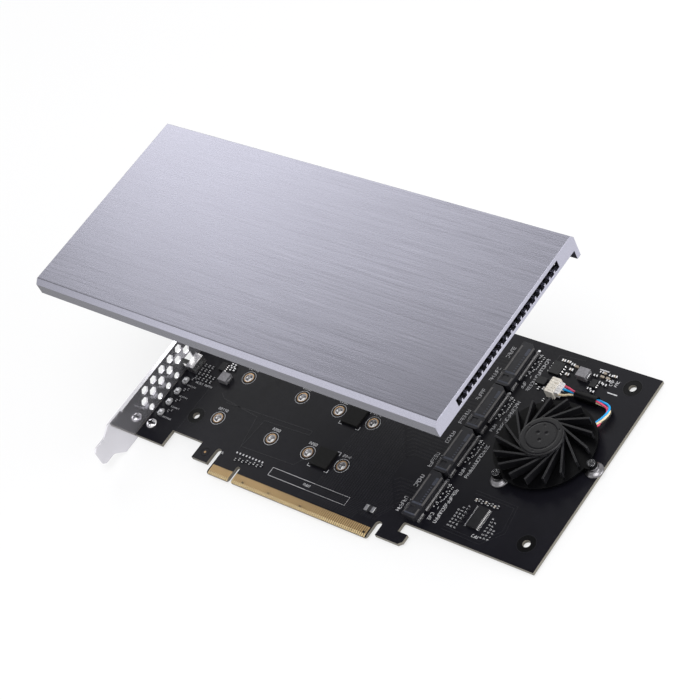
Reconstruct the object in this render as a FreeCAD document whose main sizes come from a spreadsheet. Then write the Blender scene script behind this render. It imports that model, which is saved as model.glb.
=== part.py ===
import FreeCAD, Part
import math
import os

os.makedirs("parts", exist_ok=True)

# Four-socket solid-state drive adapter card for a sixteen-lane slot, cover lifted off
# Frame: x along the card away from the bracket, y from the contact edge to the back edge,
# z out of the component side. Zero: middle of the contact key, contact edge, board underside.

doc = FreeCAD.newDocument("nvme_adapter_card")
Vec = FreeCAD.Vector

# Named sizes in millimetres
SIZES = {
    # circuit board
    "board_thick": 1.57,
    "board_left": -56.8,
    "board_right": 144.55,
    "board_front": 12.0,
    "board_back": 106.65,
    "tab_front": 3.95,
    "left_tab_end": -41.4,
    "key_tab_start": -24.1,
    "key_tab_end": -15.5,
    "strip_start": -12.6,
    "strip_end": 72.6,
    "key_half": 0.95,
    "key_depth": 7.7,
    "hook_start": 75.6,
    "hook_end": 88.3,
    "hook_neck": 83.5,
    "hook_foot": 2.5,
    "hook_top": 7.5,
    "catch_depth": 8.5,
    "bevel_length": 1.3,
    "bevel_drop": 0.45,
    # edge contacts
    "contact_pitch": 1.0,
    "contact_width": 0.7,
    "contact_start": 1.35,
    "contact_end": 4.6,
    "contact_thick": 0.04,
    # drive sockets and mounting positions
    "row_first": 24.6,
    "row_pitch": 22.4,
    "row_count": 4,
    "hole_110": -25.55,
    "hole_80": 4.45,
    "hole_60": 24.45,
    "hole_42": 42.45,
    "insert_bore_r": 1.0,
    "insert_barrel_r": 1.75,
    "insert_flange_r": 2.2,
    "insert_clearance": 0.05,
    "insert_flange_thick": 0.12,
    "insert_sides": 12,
    "socket_x": 82.0,
    "socket_depth": 6.6,
    "socket_gap": 0.5,
    "socket_height": 3.0,
    "slot_low": 1.1,
    "slot_high": 2.3,
    "slot_depth": 2.9,
    "slot_half": 10.05,
    "socket_key_y": -6.125,
    "socket_key_width": 1.2,
    "tab_length": 1.1,
    "tab_width": 0.9,
    "tab_height": 0.6,
    "support_x": 33.2,
    "support_side": 8.8,
    "support_height": 1.2,
    # cover fixing holes in the board, measured in from the cover's sides
    "fix_inset_left": 19.5,
    "fix_inset_right": 9.4,
    "fix_inset_front": 9.7,
    "fix_inset_back": 2.4,
    "fix_hole_r": 1.6,
    # bracket
    "bracket_face": -57.15,
    "bracket_thick": 0.86,
    "bracket_low": -1.0,
    "bracket_width": 18.42,
    "bracket_shoulder": -3.9,
    "bracket_top": 104.4,
    "tongue_start": -8.9,
    "tongue_end": -15.6,
    "tongue_low": 4.0,
    "tongue_width": 10.19,
    "flange_length": 10.6,
    "notch_r": 2.21,
    "fold_length": 1.0,
    "fold_inset": 5.4,
    "vent_pitch": 5.9,
    "vent_count": 13,
    "vent_r": 2.0,
    "window_r": 1.45,
    "led_first": 17.4,
    "led_pitch": 5.93,
    "bracket_screw_x": -52.7,
    "screw_front": 10.9,
    "screw_back": 92.0,
    "screw_r": 1.5,
    "screw_clearance": 0.05,
    # slide switch
    "switch_x": -55.0,
    "switch_y": 40.0,
    "switch_depth": 4.1,
    "switch_width": 7.6,
    "switch_height": 4.0,
    "switch_wall": 0.3,
    "lever_width": 1.6,
    "lever_rest": 42.8,
    "lever_travel": 2.0,
    # blower
    "fan_gap": 9.5,
    "fan_y": 62.1,
    "screw_one_x": -10.3,
    "screw_one_y": -19.1,
    "screw_two_x": 22.7,
    "screw_two_y": -1.7,
    "standoff_r": 2.1,
    "standoff_foot_r": 3.85,
    "standoff_hole_r": 1.0,
    "ear_half": 2.0,
    "plate_r": 20.8,
    "plate_low": 2.9,
    "plate_thick": 0.8,
    "cup_gap": 0.25,
    "cup_floor": 0.4,
    "cup_step": 0.3,
    "cup_wall": 1.0,
    "doorway_angle": 50.0,
    "hub_r": 8.9,
    "hub_low": 4.2,
    "hub_top": 8.8,
    "blade_count": 17,
    "blade_thick": 0.8,
    "blade_inset": 0.5,
    "blade_phase": 7.8,
    "blade_tip_r": 19.6,
    "blade_top": 7.7,
    "shaft_r": 1.0,
    "shaft_clearance": 0.03,
    "rim_wall": 0.85,
    "magnet_wall": 1.0,
    "air_gap": 0.45,
    "tooth_count": 6,
    # fan lead
    "wire_r": 0.45,
    "wire_sides": 8,
    "wire_gap": 0.53,
    "lead_offset": 25.7,
    "lead_z": 1.95,
    "lead_pitch": 1.5,
    "header_gap": 15.7,
    "header_offset": 21.7,
    "header_depth": 3.9,
    "header_width": 7.2,
    "header_height": 4.2,
    "sleeve_start": -2.5,
    "sleeve_length": 10.2,
    "sleeve_r": 1.85,
    "sleeve_wall": 0.3,
    # parts soldered to the board
    "inductor_side": 4.4,
    "chip_length": 5.0,
    "chip_width": 6.0,
    "chip_height": 1.1,
    "controller_gap": 22.1,
    "controller_length": 4.7,
    "controller_height": 1.1,
    "capacitor_length": 1.6,
    "capacitor_width": 0.9,
    "capacitor_height": 0.8,
    # cover
    "cover_inset_left": 1.2,
    "cover_inset_right": 0.15,
    "cover_margin_front": 12.2,
    "cover_margin_back": 10.0,
    "cover_top": 1.9,
    "cover_front_wall": 1.6,
    "cover_back_wall": 2.05,
    "cover_depth": 6.9,
    "cover_back_depth": 11.3,
    "cover_chamfer": 1.8,
    "cover_back_chamfer": 1.3,
    "cover_end_wall": 1.8,
    "cover_stand": 14.4,
    "lift_x": -3.7,
    "lift_y": -5.9,
    "lift_z": 81.0,
    "window_start": 12.6,
    "window_inset": 11.3,
    "window_low": 5.55,
    "comb_count": 20,
    "comb_width": 0.85,
    "comb_height": 1.3,
    "fin_length": 12.0,
    "fin_drop": 3.6,
    "guide_thick": 0.5,
    "spreader_width": 15.8,
    "spreader_drop": 9.3,
    "spreader_start_gap": 3.55,
    "spreader_end_gap": 2.0,
    "boss_r": 2.4,
    "boss_hole_r": 1.25,
    "pad_thick": 1.5,
}

sheet = doc.addObject("Spreadsheet::Sheet", "Sizes")
for row, (alias, value) in enumerate(SIZES.items(), 1):
    sheet.set(f"A{row}", alias)
    sheet.set(f"B{row}", str(value))
    sheet.setAlias(f"B{row}", alias)
doc.recompute()


def size(alias):
    return float(sheet.get(alias))


TOP = size("board_thick")
NODES = []


# Modelling helpers
def new_body(name, x=0.0, y=0.0, z=0.0):
    body = doc.addObject("PartDesign::Body", name)
    body.Label = name
    body.Placement = FreeCAD.Placement(Vec(x, y, z), FreeCAD.Rotation())
    NODES.append(body)
    return body


def add_sketch(body, role, shift=0.0):
    plane = [item for item in body.Origin.OriginFeatures if item.Role == role][0]
    sketch = body.newObject("Sketcher::SketchObject", "Sketch")
    sketch.AttachmentSupport = [(plane, "")]
    sketch.MapMode = "FlatFace"
    sketch.AttachmentOffset = FreeCAD.Placement(Vec(0, 0, shift), FreeCAD.Rotation())
    return sketch


def draw_outline(sketch, corners):
    """Closed outline; a corner given as (x, y, r) is rounded with radius r."""
    count = len(corners)
    points = [Vec(c[0], c[1], 0) for c in corners]
    starts, ends, arcs = [], [], []
    for i, corner in enumerate(corners):
        here = points[i]
        if len(corner) < 3:
            starts.append(here)
            ends.append(here)
            arcs.append(None)
            continue
        back = (points[i - 1] - here).normalize()
        ahead = (points[(i + 1) % count] - here).normalize()
        half = back.getAngle(ahead) / 2
        reach = corner[2] / math.tan(half)
        enter = here + back * reach
        leave = here + ahead * reach
        middle = here + (back + ahead).normalize() * (corner[2] / math.sin(half) - corner[2])
        starts.append(leave)
        ends.append(enter)
        arcs.append(Part.Arc(enter, middle, leave))
    for i in range(count):
        if arcs[i] is not None:
            sketch.addGeometry(arcs[i], False)
        following = ends[(i + 1) % count]
        if (following - starts[i]).Length > 1e-6:
            sketch.addGeometry(Part.LineSegment(starts[i], following), False)


def draw_box(sketch, x0, y0, x1, y1):
    draw_outline(sketch, [(x0, y0), (x1, y0), (x1, y1), (x0, y1)])


def draw_circle(sketch, x, y, radius):
    sketch.addGeometry(Part.Circle(Vec(x, y, 0), Vec(0, 0, 1), radius), False)


def pad(body, sketch, length, reverse=False):
    feature = body.newObject("PartDesign::Pad", "Pad")
    feature.Profile = sketch
    feature.Reversed = reverse
    feature.setExpression("Length", length)
    sketch.Visibility = False
    doc.recompute()
    return feature


def pocket(body, sketch, length, reverse=False):
    before = body.Shape.Volume
    feature = body.newObject("PartDesign::Pocket", "Pocket")
    feature.Profile = sketch
    feature.Reversed = reverse
    feature.setExpression("Length", length)
    sketch.Visibility = False
    doc.recompute()
    assert body.Shape.Volume < before - 1e-6, body.Label + " pocket cuts nothing"
    return feature


def ring_of(body, feature, count):
    """Repeats a feature round the body's vertical axis."""
    axis = [item for item in body.Origin.OriginFeatures if item.Role == "Z_Axis"][0]
    body.Tip = feature
    ring = body.newObject("PartDesign::PolarPattern", "Ring")
    ring.Originals = [feature]
    ring.Axis = (axis, [""])
    ring.Angle = 360
    ring.setExpression("Occurrences", count)
    body.Tip = ring
    doc.recompute()
    return ring


def group(name, shapes):
    """Identical separate pieces, or one plain solid, kept as a single node."""
    node = doc.addObject("Part::Feature", name)
    node.Label = name
    node.Shape = shapes[0] if len(shapes) == 1 else Part.makeCompound(shapes)
    NODES.append(node)
    return node


def block(x0, y0, z0, length, width, height):
    return Part.makeBox(length, width, height, Vec(x0, y0, z0))


def centred_block(x, y, z0, length, width, height):
    return block(x - length / 2, y - width / 2, z0, length, width, height)


def rod(x, y, z0, radius, height):
    return Part.makeCylinder(radius, height, Vec(x, y, z0))


def ring_points(x, y, radius, sides):
    turns = [2 * math.pi * (k + 0.5) / sides for k in range(sides)]
    return [(x + radius * math.cos(a), y + radius * math.sin(a)) for a in turns]


def prism(x, y, z0, radius, height, sides):
    points = [Vec(px, py, z0) for px, py in ring_points(x, y, radius, sides)]
    return Part.Face(Part.makePolygon(points + [points[0]])).extrude(Vec(0, 0, height))


def turned(x, y, z0, profile):
    """Solid of revolution about a vertical axis from (radius, height) points."""
    points = [Vec(r, 0, z) for r, z in profile]
    face = Part.Face(Part.makePolygon(points + [points[0]]))
    solid = face.revolve(Vec(0, 0, 0), Vec(0, 0, 1), 360)
    solid.translate(Vec(x, y, z0))
    return solid


ROWS = [size("row_first") + k * size("row_pitch") for k in range(int(size("row_count")))]
HOLE_COLUMNS = [size("hole_110"), size("hole_80"), size("hole_60"), size("hole_42")]
fan_x = size("socket_x") + size("socket_depth") + size("fan_gap") + size("plate_r")
fan_y = size("fan_y")
FAN_SCREWS = [(fan_x + size("screw_one_x"), fan_y + size("screw_one_y")),
              (fan_x + size("screw_two_x"), fan_y + size("screw_two_y"))]

# The cover spans the board's length, and its width follows the four rows of drives
seat_x = size("board_left") + size("cover_inset_left")
seat_y = size("row_first") - size("cover_margin_front")
cover_length = size("board_right") - size("cover_inset_right") - seat_x
cover_width = (ROWS[-1] + size("cover_margin_back")) - seat_y
FIX_COLUMNS = [seat_x + size("fix_inset_left"), seat_x + cover_length - size("fix_inset_right")]
FIX_ROWS = [seat_y + size("fix_inset_front"), seat_y + cover_width - size("fix_inset_back")]


# Circuit board
board = new_body("circuit_board")
outline = add_sketch(board, "XY_Plane")
key = size("key_half")
strip_start = size("strip_start")
strip_end = size("strip_end")
slot_round = 1.4
draw_outline(outline, [
    (size("board_left"), size("tab_front")),
    (size("left_tab_end"), size("tab_front")),
    (size("left_tab_end"), size("board_front")),
    (size("key_tab_start"), size("board_front")),
    (size("key_tab_start"), size("tab_front")),
    (size("key_tab_end"), size("tab_front")),
    (size("key_tab_end"), size("board_front"), slot_round),
    (strip_start, size("board_front"), slot_round),
    (strip_start, 0.5),
    (strip_start + 0.5, 0.0),
    (-key - 0.5, 0.0),
    (-key, 0.5),
    (-key, size("key_depth"), 0.9),
    (key, size("key_depth"), 0.9),
    (key, 0.5),
    (key + 0.5, 0.0),
    (strip_end - 0.5, 0.0),
    (strip_end, 0.5),
    (strip_end, size("catch_depth"), slot_round),
    (size("hook_start"), size("catch_depth"), slot_round),
    (size("hook_start"), size("hook_foot")),
    (size("hook_end") - 1.5, size("hook_foot")),
    (size("hook_end"), size("hook_foot") + 1.5),
    (size("hook_end"), size("hook_top")),
    (size("hook_neck"), size("hook_top")),
    (size("hook_neck"), size("board_front"), 0.8),
    (size("board_right"), size("board_front")),
    (size("board_right"), size("board_back")),
    (size("board_left"), size("board_back")),
])
pad(board, outline, "Sizes.board_thick")

holes = add_sketch(board, "XY_Plane", TOP)
for column in HOLE_COLUMNS:
    for row_y in ROWS:
        hole_r = size("insert_barrel_r") + size("insert_clearance")
        draw_outline(holes, ring_points(column, row_y, hole_r, int(size("insert_sides"))))
for fix_x in FIX_COLUMNS:
    for fix_y in FIX_ROWS:
        draw_circle(holes, fix_x, fix_y, size("fix_hole_r"))
for screw_y in (size("screw_front"), size("screw_back")):
    draw_circle(holes, size("bracket_screw_x"), screw_y, size("screw_r") + size("screw_clearance"))
pocket(board, holes, "Sizes.board_thick")

bevel = add_sketch(board, "YZ_Plane", 90.0)
reach = size("bevel_length")
drop = size("bevel_drop")
draw_outline(bevel, [(-0.2, -0.2), (reach, -0.0), (0.0, drop), (-0.2, drop)])
draw_outline(bevel, [(-0.2, TOP + 0.2), (-0.2, TOP - drop), (0.0, TOP - drop), (reach, TOP)])
pocket(board, bevel, "Sizes.strip_end - Sizes.strip_start + 40")


# Gold contacts on the two faces of the edge
def edge_contacts(name, z0, short_pins):
    pieces = []
    pitch = size("contact_pitch")
    for pin in range(1, 83):
        if pin <= 11:
            x = -1.5 * pitch - (11 - pin) * pitch
        else:
            x = 1.5 * pitch + (pin - 12) * pitch
        start = size("contact_start")
        if pin in short_pins:
            start += 0.9
        length = size("contact_end") - start
        width = size("contact_width")
        pieces.append(block(x - width / 2, start, z0, width, length, size("contact_thick")))
    return group(name, pieces)


edge_contacts("edge_contacts_top", TOP, (17, 31, 48, 81))
edge_contacts("edge_contacts_back", -size("contact_thick"), (1,))


# Drive sockets
def drive_socket(name, row_y):
    body = new_body(name, size("socket_x"), row_y, TOP)
    half = (size("row_pitch") - size("socket_gap")) / 2
    depth = size("socket_depth")
    shell = add_sketch(body, "XY_Plane")
    draw_outline(shell, [(0, -half), (depth - 1.2, -half), (depth, -half + 0.8),
                         (depth, half - 2.0), (depth - 2.2, half), (0, half)])
    pad(body, shell, "Sizes.socket_height")
    slot = add_sketch(body, "YZ_Plane")
    low = size("slot_low")
    high = size("slot_high")
    key_low = size("socket_key_y") - size("socket_key_width") / 2
    key_high = size("socket_key_y") + size("socket_key_width") / 2
    draw_box(slot, -size("slot_half"), low, key_low, high)
    draw_box(slot, key_high, low, size("slot_half"), high)
    pocket(body, slot, "Sizes.slot_depth", reverse=True)
    groove = add_sketch(body, "YZ_Plane", depth)
    draw_box(groove, key_high + 0.6, 0.9, half - 2.6, 2.2)
    pocket(body, groove, "0.6")
    roof = add_sketch(body, "XY_Plane", size("socket_height"))
    draw_box(roof, 1.0, -half + 2.3, 4.0, -half + 4.9)
    pocket(body, roof, "0.35")
    return body


for index, row_y in enumerate(ROWS, 1):
    drive_socket(f"drive_socket_{index}", row_y)

tab_x = size("socket_x") + size("socket_depth") + size("tab_length") / 2
group("socket_anchor_tabs", [
    centred_block(tab_x, row_y + end * 10.3, TOP, size("tab_length"), size("tab_width"),
                  size("tab_height"))
    for row_y in ROWS for end in (-1, 1)
])

# Pressed-in nuts for the drive screws, twelve-sided outside like a serrated barrel
inserts = []
sides = int(size("insert_sides"))
flange = size("insert_flange_thick")
for column in HOLE_COLUMNS:
    for row_y in ROWS:
        barrel = prism(column, row_y, 0.0, size("insert_barrel_r"), TOP, sides)
        collar = prism(column, row_y, TOP, size("insert_flange_r"), flange, sides)
        thread = rod(column, row_y, 0.0, size("insert_bore_r"), TOP + flange)
        inserts.append(barrel.fuse(collar).cut(thread))
group("drive_inserts", inserts)

side = size("support_side")
group("drive_support_pads", [
    centred_block(size("support_x"), row_y, TOP, side, side, size("support_height"))
    for row_y in ROWS
])


# Bracket
bracket = new_body("bracket")
face_x = size("bracket_face")
low = size("bracket_low")
high = low + size("bracket_width")
tongue_low = size("tongue_low")
tongue_high = tongue_low + size("tongue_width")
plate = add_sketch(bracket, "YZ_Plane", face_x)
draw_outline(plate, [
    (size("bracket_shoulder"), low, 1.0),
    (size("bracket_top"), low),
    (size("bracket_top"), high),
    (size("bracket_shoulder"), high, 1.0),
    (size("tongue_start"), tongue_high, 2.0),
    (size("tongue_end") + 1.5, tongue_high),
    (size("tongue_end"), tongue_high - 1.5),
    (size("tongue_end"), tongue_low + 1.5),
    (size("tongue_end") + 1.5, tongue_low),
    (size("tongue_start"), tongue_low, 2.0),
])
pad(bracket, plate, "Sizes.bracket_thick", reverse=True)

case_flange = add_sketch(bracket, "XZ_Plane", -size("bracket_top"))
outer_x = face_x - size("bracket_thick") - size("flange_length")
notch_x = face_x - size("bracket_thick") - 5.9
draw_outline(case_flange, [
    (face_x, low),
    (face_x, high),
    (outer_x, high, 1.5),
    (outer_x, low, 1.5),
    (notch_x - size("notch_r"), low),
    (notch_x - size("notch_r"), low + 4.4, size("notch_r") - 0.01),
    (notch_x + size("notch_r"), low + 4.4, size("notch_r") - 0.01),
    (notch_x + size("notch_r"), low),
])
pad(bracket, case_flange, "Sizes.bracket_thick")

fold = add_sketch(bracket, "YZ_Plane", face_x)
fold_front = size("screw_front") - 6.5
fold_back = size("bracket_top") - size("fold_inset")
draw_box(fold, fold_front, high - size("bracket_thick"), fold_back, high)
pad(bracket, fold, "Sizes.fold_length")

feet = add_sketch(bracket, "XY_Plane", -size("bracket_thick"))
for screw_y in (size("screw_front"), size("screw_back")):
    draw_box(feet, face_x, screw_y - 4.6, size("bracket_screw_x") + 4.2, screw_y + 4.6)
pad(bracket, feet, "Sizes.bracket_thick")

feet_holes = add_sketch(bracket, "XY_Plane")
for screw_y in (size("screw_front"), size("screw_back")):
    draw_circle(feet_holes, size("bracket_screw_x"), screw_y,
                size("screw_r") + size("screw_clearance"))
pocket(bracket, feet_holes, "Sizes.bracket_thick")

vents = add_sketch(bracket, "YZ_Plane", face_x)
vent_r = size("vent_r")
for k in range(int(size("vent_count"))):
    for first_y, z in ((18.9, TOP + 11.8), (16.0, TOP + 7.7)):
        y = first_y + k * size("vent_pitch")
        draw_outline(vents, [
            (y + vent_r * math.cos(math.radians(a)), z + vent_r * math.sin(math.radians(a)))
            for a in range(0, 360, 60)
        ])
for k in range(4):
    draw_circle(vents, size("led_first") + k * size("led_pitch"), TOP + 2.3, size("window_r"))
switch_mid = size("switch_y") + size("switch_width") / 2
draw_box(vents, switch_mid - 2.9, TOP + 1.0, switch_mid + 2.9, TOP + 5.2)
pocket(bracket, vents, "Sizes.bracket_thick")


# Bracket screws, with a cross recess in each head
def cross_screw(x, y, seat_z, head_r, head_height, shank_r, tip_z, recess):
    head = rod(x, y, seat_z, head_r, head_height)
    screw = head.fuse(rod(x, y, tip_z, shank_r, seat_z - tip_z))
    floor = seat_z + head_height * 0.5
    slot = 0.56 * recess
    cross = centred_block(x, y, floor, 2 * recess, slot, head_height)
    cross = cross.fuse(centred_block(x, y, floor, slot, 2 * recess, head_height))
    return screw.cut(cross)


group("bracket_screws", [
    cross_screw(size("bracket_screw_x"), screw_y, TOP, 2.5, 1.8, size("screw_r"), -0.8, 1.35)
    for screw_y in (size("screw_front"), size("screw_back"))
])


# Slide switch beside the bracket
shell = new_body("switch_shell", size("switch_x"), size("switch_y"), TOP)
shell_sketch = add_sketch(shell, "XY_Plane")
draw_box(shell_sketch, 0, 0, size("switch_depth"), size("switch_width"))
pad(shell, shell_sketch, "Sizes.switch_height")
wall = size("switch_wall")
shell_room = add_sketch(shell, "XY_Plane")
draw_box(shell_room, wall, wall, size("switch_depth") - wall, size("switch_width") - wall)
pocket(shell, shell_room, "Sizes.switch_height - Sizes.switch_wall", reverse=True)
shell_slot = add_sketch(shell, "YZ_Plane")
lever_low = size("lever_rest") - size("switch_y") - size("lever_width") / 2 - 0.3
lever_high = lever_low + size("lever_width") + size("lever_travel") + 0.6
draw_box(shell_slot, lever_low, 1.4, lever_high, 3.3)
pocket(shell, shell_slot, "Sizes.switch_wall", reverse=True)

inner = wall + 0.05
group("switch_base", [block(size("switch_x") + inner, size("switch_y") + inner, TOP,
                            size("switch_depth") - 2 * inner,
                            size("switch_width") - 2 * inner, 1.2)])
lever_y = size("lever_rest") - size("lever_width") / 2
carriage = block(size("switch_x") + 0.9, lever_y - 0.6, TOP + 1.25, 2.3, 2.8, 2.0)
arm = block(size("switch_x") - 4.6, lever_y, TOP + 1.6, 5.6, size("lever_width"), 1.5)
group("switch_lever", [carriage.fuse(arm).removeSplitter()])

led_rows = [size("led_first") + k * size("led_pitch") for k in range(4)]
group("status_led_bodies", [centred_block(-52.5, y, TOP, 1.3, 3.0, 1.3) for y in led_rows])
group("status_led_lenses", [centred_block(-53.5, y, TOP + 0.15, 0.7, 2.2, 1.0) for y in led_rows])


# Blower, built about its own axis
hub_r = size("hub_r")
cup_r = hub_r + size("cup_step")
ring_r = hub_r - size("rim_wall")
stator_r = ring_r - size("magnet_wall") - size("air_gap")
base = new_body("fan_base", fan_x, fan_y, TOP)
disc = add_sketch(base, "XY_Plane", size("plate_low"))
draw_circle(disc, 0, 0, size("plate_r"))
pad(base, disc, "Sizes.plate_thick")
for screw_x, screw_y in FAN_SCREWS:
    local_x = screw_x - fan_x
    local_y = screw_y - fan_y
    angle = math.atan2(local_y, local_x)
    distance = math.hypot(local_x, local_y)
    along = Vec(math.cos(angle), math.sin(angle), 0)
    across = Vec(-along.y, along.x, 0)
    ear = add_sketch(base, "XY_Plane", size("plate_low"))
    ear_half = size("ear_half")
    root = along * (size("plate_r") - 4.8)
    end = along * (distance + ear_half)
    corners = [root + across * (ear_half + 1.3), root - across * (ear_half + 1.3)]
    tip = [end - across * ear_half, end + across * ear_half]
    draw_outline(ear, [(p.x, p.y) for p in corners] + [(p.x, p.y, 2.5) for p in tip])
    pad(base, ear, "Sizes.plate_thick")
cup = add_sketch(base, "XY_Plane", size("cup_gap"))
draw_circle(cup, 0, 0, cup_r)
pad(base, cup, "Sizes.plate_low - Sizes.cup_gap")
cup_room = add_sketch(base, "XY_Plane", size("plate_low") + size("plate_thick"))
draw_circle(cup_room, 0, 0, cup_r - size("cup_wall"))
pocket(base, cup_room,
       "Sizes.plate_low + Sizes.plate_thick - Sizes.cup_gap - Sizes.cup_floor")
ear_holes = add_sketch(base, "XY_Plane", size("plate_low") + size("plate_thick"))
for screw_x, screw_y in FAN_SCREWS:
    draw_circle(ear_holes, screw_x - fan_x, screw_y - fan_y, 1.05)
pocket(base, ear_holes, "Sizes.plate_thick")
lead_angle = math.radians(size("doorway_angle"))
lead_dir = Vec(math.cos(lead_angle), math.sin(lead_angle), 0)
lead_side = Vec(-lead_dir.y, lead_dir.x, 0)
cup_seat = size("cup_gap") + size("cup_floor")
doorway = add_sketch(base, "XY_Plane", cup_seat)
near = lead_dir * (cup_r - size("cup_wall") - 1.5)
far = lead_dir * (cup_r + 1.5)
door_corners = [near + lead_side * 1.4, near - lead_side * 1.4,
                far - lead_side * 1.4, far + lead_side * 1.4]
draw_outline(doorway, [(p.x, p.y) for p in door_corners])
pocket(base, doorway, "Sizes.plate_low - Sizes.cup_gap - Sizes.cup_floor", reverse=True)

bore_r = size("shaft_r") + size("shaft_clearance")
bearing = rod(fan_x, fan_y, TOP + cup_seat, 1.8, 6.0)
bearing = bearing.cut(rod(fan_x, fan_y, TOP + cup_seat, bore_r, 6.0))
group("fan_bearing", [bearing])

stator = new_body("fan_stator", fan_x, fan_y, TOP)
core = add_sketch(stator, "XY_Plane", 3.9)
draw_circle(core, 0, 0, stator_r)
draw_circle(core, 0, 0, 1.85)
pad(stator, core, "2.4")
winding_slot = add_sketch(stator, "XY_Plane", 6.3)
slot_in = stator_r - 3.6
slot_lip = stator_r - 1.0
slot_out = stator_r + 0.6
draw_outline(winding_slot, [(slot_in, -0.9), (slot_lip, -0.9), (slot_lip, -0.35),
                            (slot_out, -0.35), (slot_out, 0.35), (slot_lip, 0.35),
                            (slot_lip, 0.9), (slot_in, 0.9)])
first_slot = pocket(stator, winding_slot, "2.4")
ring_of(stator, first_slot, "Sizes.tooth_count")

coils = []
for k in range(int(size("tooth_count"))):
    coil = centred_block((slot_in + slot_lip) / 2, 0, TOP + 4.1, 2.3, 1.5, 2.0)
    coil.rotate(Vec(0, 0, 0), Vec(0, 0, 1), k * 360 / size("tooth_count"))
    coil.translate(Vec(fan_x, fan_y, 0))
    coils.append(coil)
group("fan_coils", coils)

group("fan_shaft", [rod(fan_x, fan_y, TOP + cup_seat + 0.1, size("shaft_r"), 6.9)])
magnet = rod(fan_x, fan_y, TOP + 4.3, ring_r, 3.0)
magnet = magnet.cut(rod(fan_x, fan_y, TOP + 4.3, ring_r - size("magnet_wall"), 3.0))
group("fan_magnet", [magnet])

impeller = new_body("fan_impeller", fan_x, fan_y, TOP)
impeller.Placement.Rotation = FreeCAD.Rotation(FreeCAD.Vector(0, 0, 1), size("blade_phase"))
hub_profile = add_sketch(impeller, "XZ_Plane")
hub_low = size("hub_low")
hub_top = size("hub_top")
ceiling = hub_top - 1.1
draw_outline(hub_profile, [
    (0.0, hub_top), (0.0, ceiling), (size("shaft_r") + 0.01, ceiling),
    (size("shaft_r") + 0.01, ceiling - 0.8), (1.9, ceiling - 0.8), (1.9, ceiling),
    (ring_r + 0.05, ceiling), (ring_r + 0.05, hub_low), (hub_r, hub_low),
    (hub_r, hub_top - 0.5), (hub_r - 0.5, hub_top),
])
hub_turn = impeller.newObject("PartDesign::Revolution", "Hub")
hub_turn.Profile = hub_profile
hub_turn.ReferenceAxis = (hub_profile, ["V_Axis"])
hub_turn.Angle = 360
doc.recompute()

# Each blade runs off the hub on a line set over from the axis
blade_sketch = add_sketch(impeller, "XY_Plane", hub_low)
offset = hub_r - size("blade_inset")
inner_side = offset - size("blade_thick") / 2
outer_side = offset + size("blade_thick") / 2
tip_reach = math.sqrt(size("blade_tip_r") ** 2 - outer_side ** 2)
draw_outline(blade_sketch, [(inner_side, -1.5), (outer_side, -1.5),
                            (outer_side, -tip_reach), (inner_side, -tip_reach)])
blade = pad(impeller, blade_sketch, "Sizes.blade_top - Sizes.hub_low")
ring_of(impeller, blade, "Sizes.blade_count")

plate_top = TOP + size("plate_low") + size("plate_thick")
group("fan_screws", [cross_screw(x, y, plate_top, 1.6, 1.3, 0.95, TOP + 0.7, 1.0)
                     for x, y in FAN_SCREWS])
post_r = size("standoff_r")
foot_r = size("standoff_foot_r")
post_hole = size("standoff_hole_r")
post_top = size("plate_low")
group("fan_standoffs", [turned(x, y, TOP, [
    (post_hole, 0.0), (foot_r, 0.0), (foot_r, 0.35), (post_r, 0.9), (post_r, post_top),
    (post_hole, post_top),
]) for x, y in FAN_SCREWS])


# Fan connector and its lead
header_x = size("socket_x") + size("socket_depth") + size("header_gap")
header_y = fan_y + size("header_offset")
header = new_body("fan_header", header_x, header_y, TOP)
header_box = add_sketch(header, "XY_Plane")
draw_box(header_box, 0, 0, size("header_depth"), size("header_width"))
pad(header, header_box, "Sizes.header_height")
header_room = add_sketch(header, "YZ_Plane", size("header_depth"))
draw_box(header_room, 0.8, 0.8, size("header_width") - 0.8, 3.6)
pocket(header, header_room, "Sizes.header_depth - 0.9")
header_key = add_sketch(header, "XY_Plane", size("header_height"))
draw_box(header_key, 2.2, 2.0, size("header_depth") + 0.5, 2.8)
draw_box(header_key, 2.2, 4.4, size("header_depth") + 0.5, 5.2)
pocket(header, header_key, "0.3")

lead_pitch = size("lead_pitch")
header_mid = header_y + size("header_width") / 2
pin_rows = [header_mid + (k - 1.5) * lead_pitch for k in range(4)]
header_pins = [centred_block(header_x - 0.7, y, TOP, 1.4, 0.5, 0.25) for y in pin_rows]
for side_y in (header_y - 0.55, header_y + size("header_width") + 0.55):
    header_pins.append(centred_block(header_x + 2.4, side_y, TOP, 1.6, 1.1, 0.25))
group("fan_header_pins", header_pins)

plug_x = header_x + 1.1
plug_end = header_x + size("header_depth") + 2.1
plug = block(plug_x, header_y + 0.9, TOP + 0.9, plug_end - plug_x,
             size("header_width") - 1.8, 2.6)
wire_z = TOP + 2.2
cavity = 2 * size("wire_r") + 0.1
for y in pin_rows:
    plug = plug.cut(block(plug_end - 1.6, y - cavity / 2, wire_z - cavity / 2, 1.6, cavity, cavity))
for k in range(3):
    groove_y = header_mid + (k - 1) * lead_pitch
    plug = plug.cut(block(plug_end - 1.4, groove_y - 0.15, TOP + 3.2, 1.6, 0.3, 0.5))
group("fan_plug", [plug])


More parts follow.
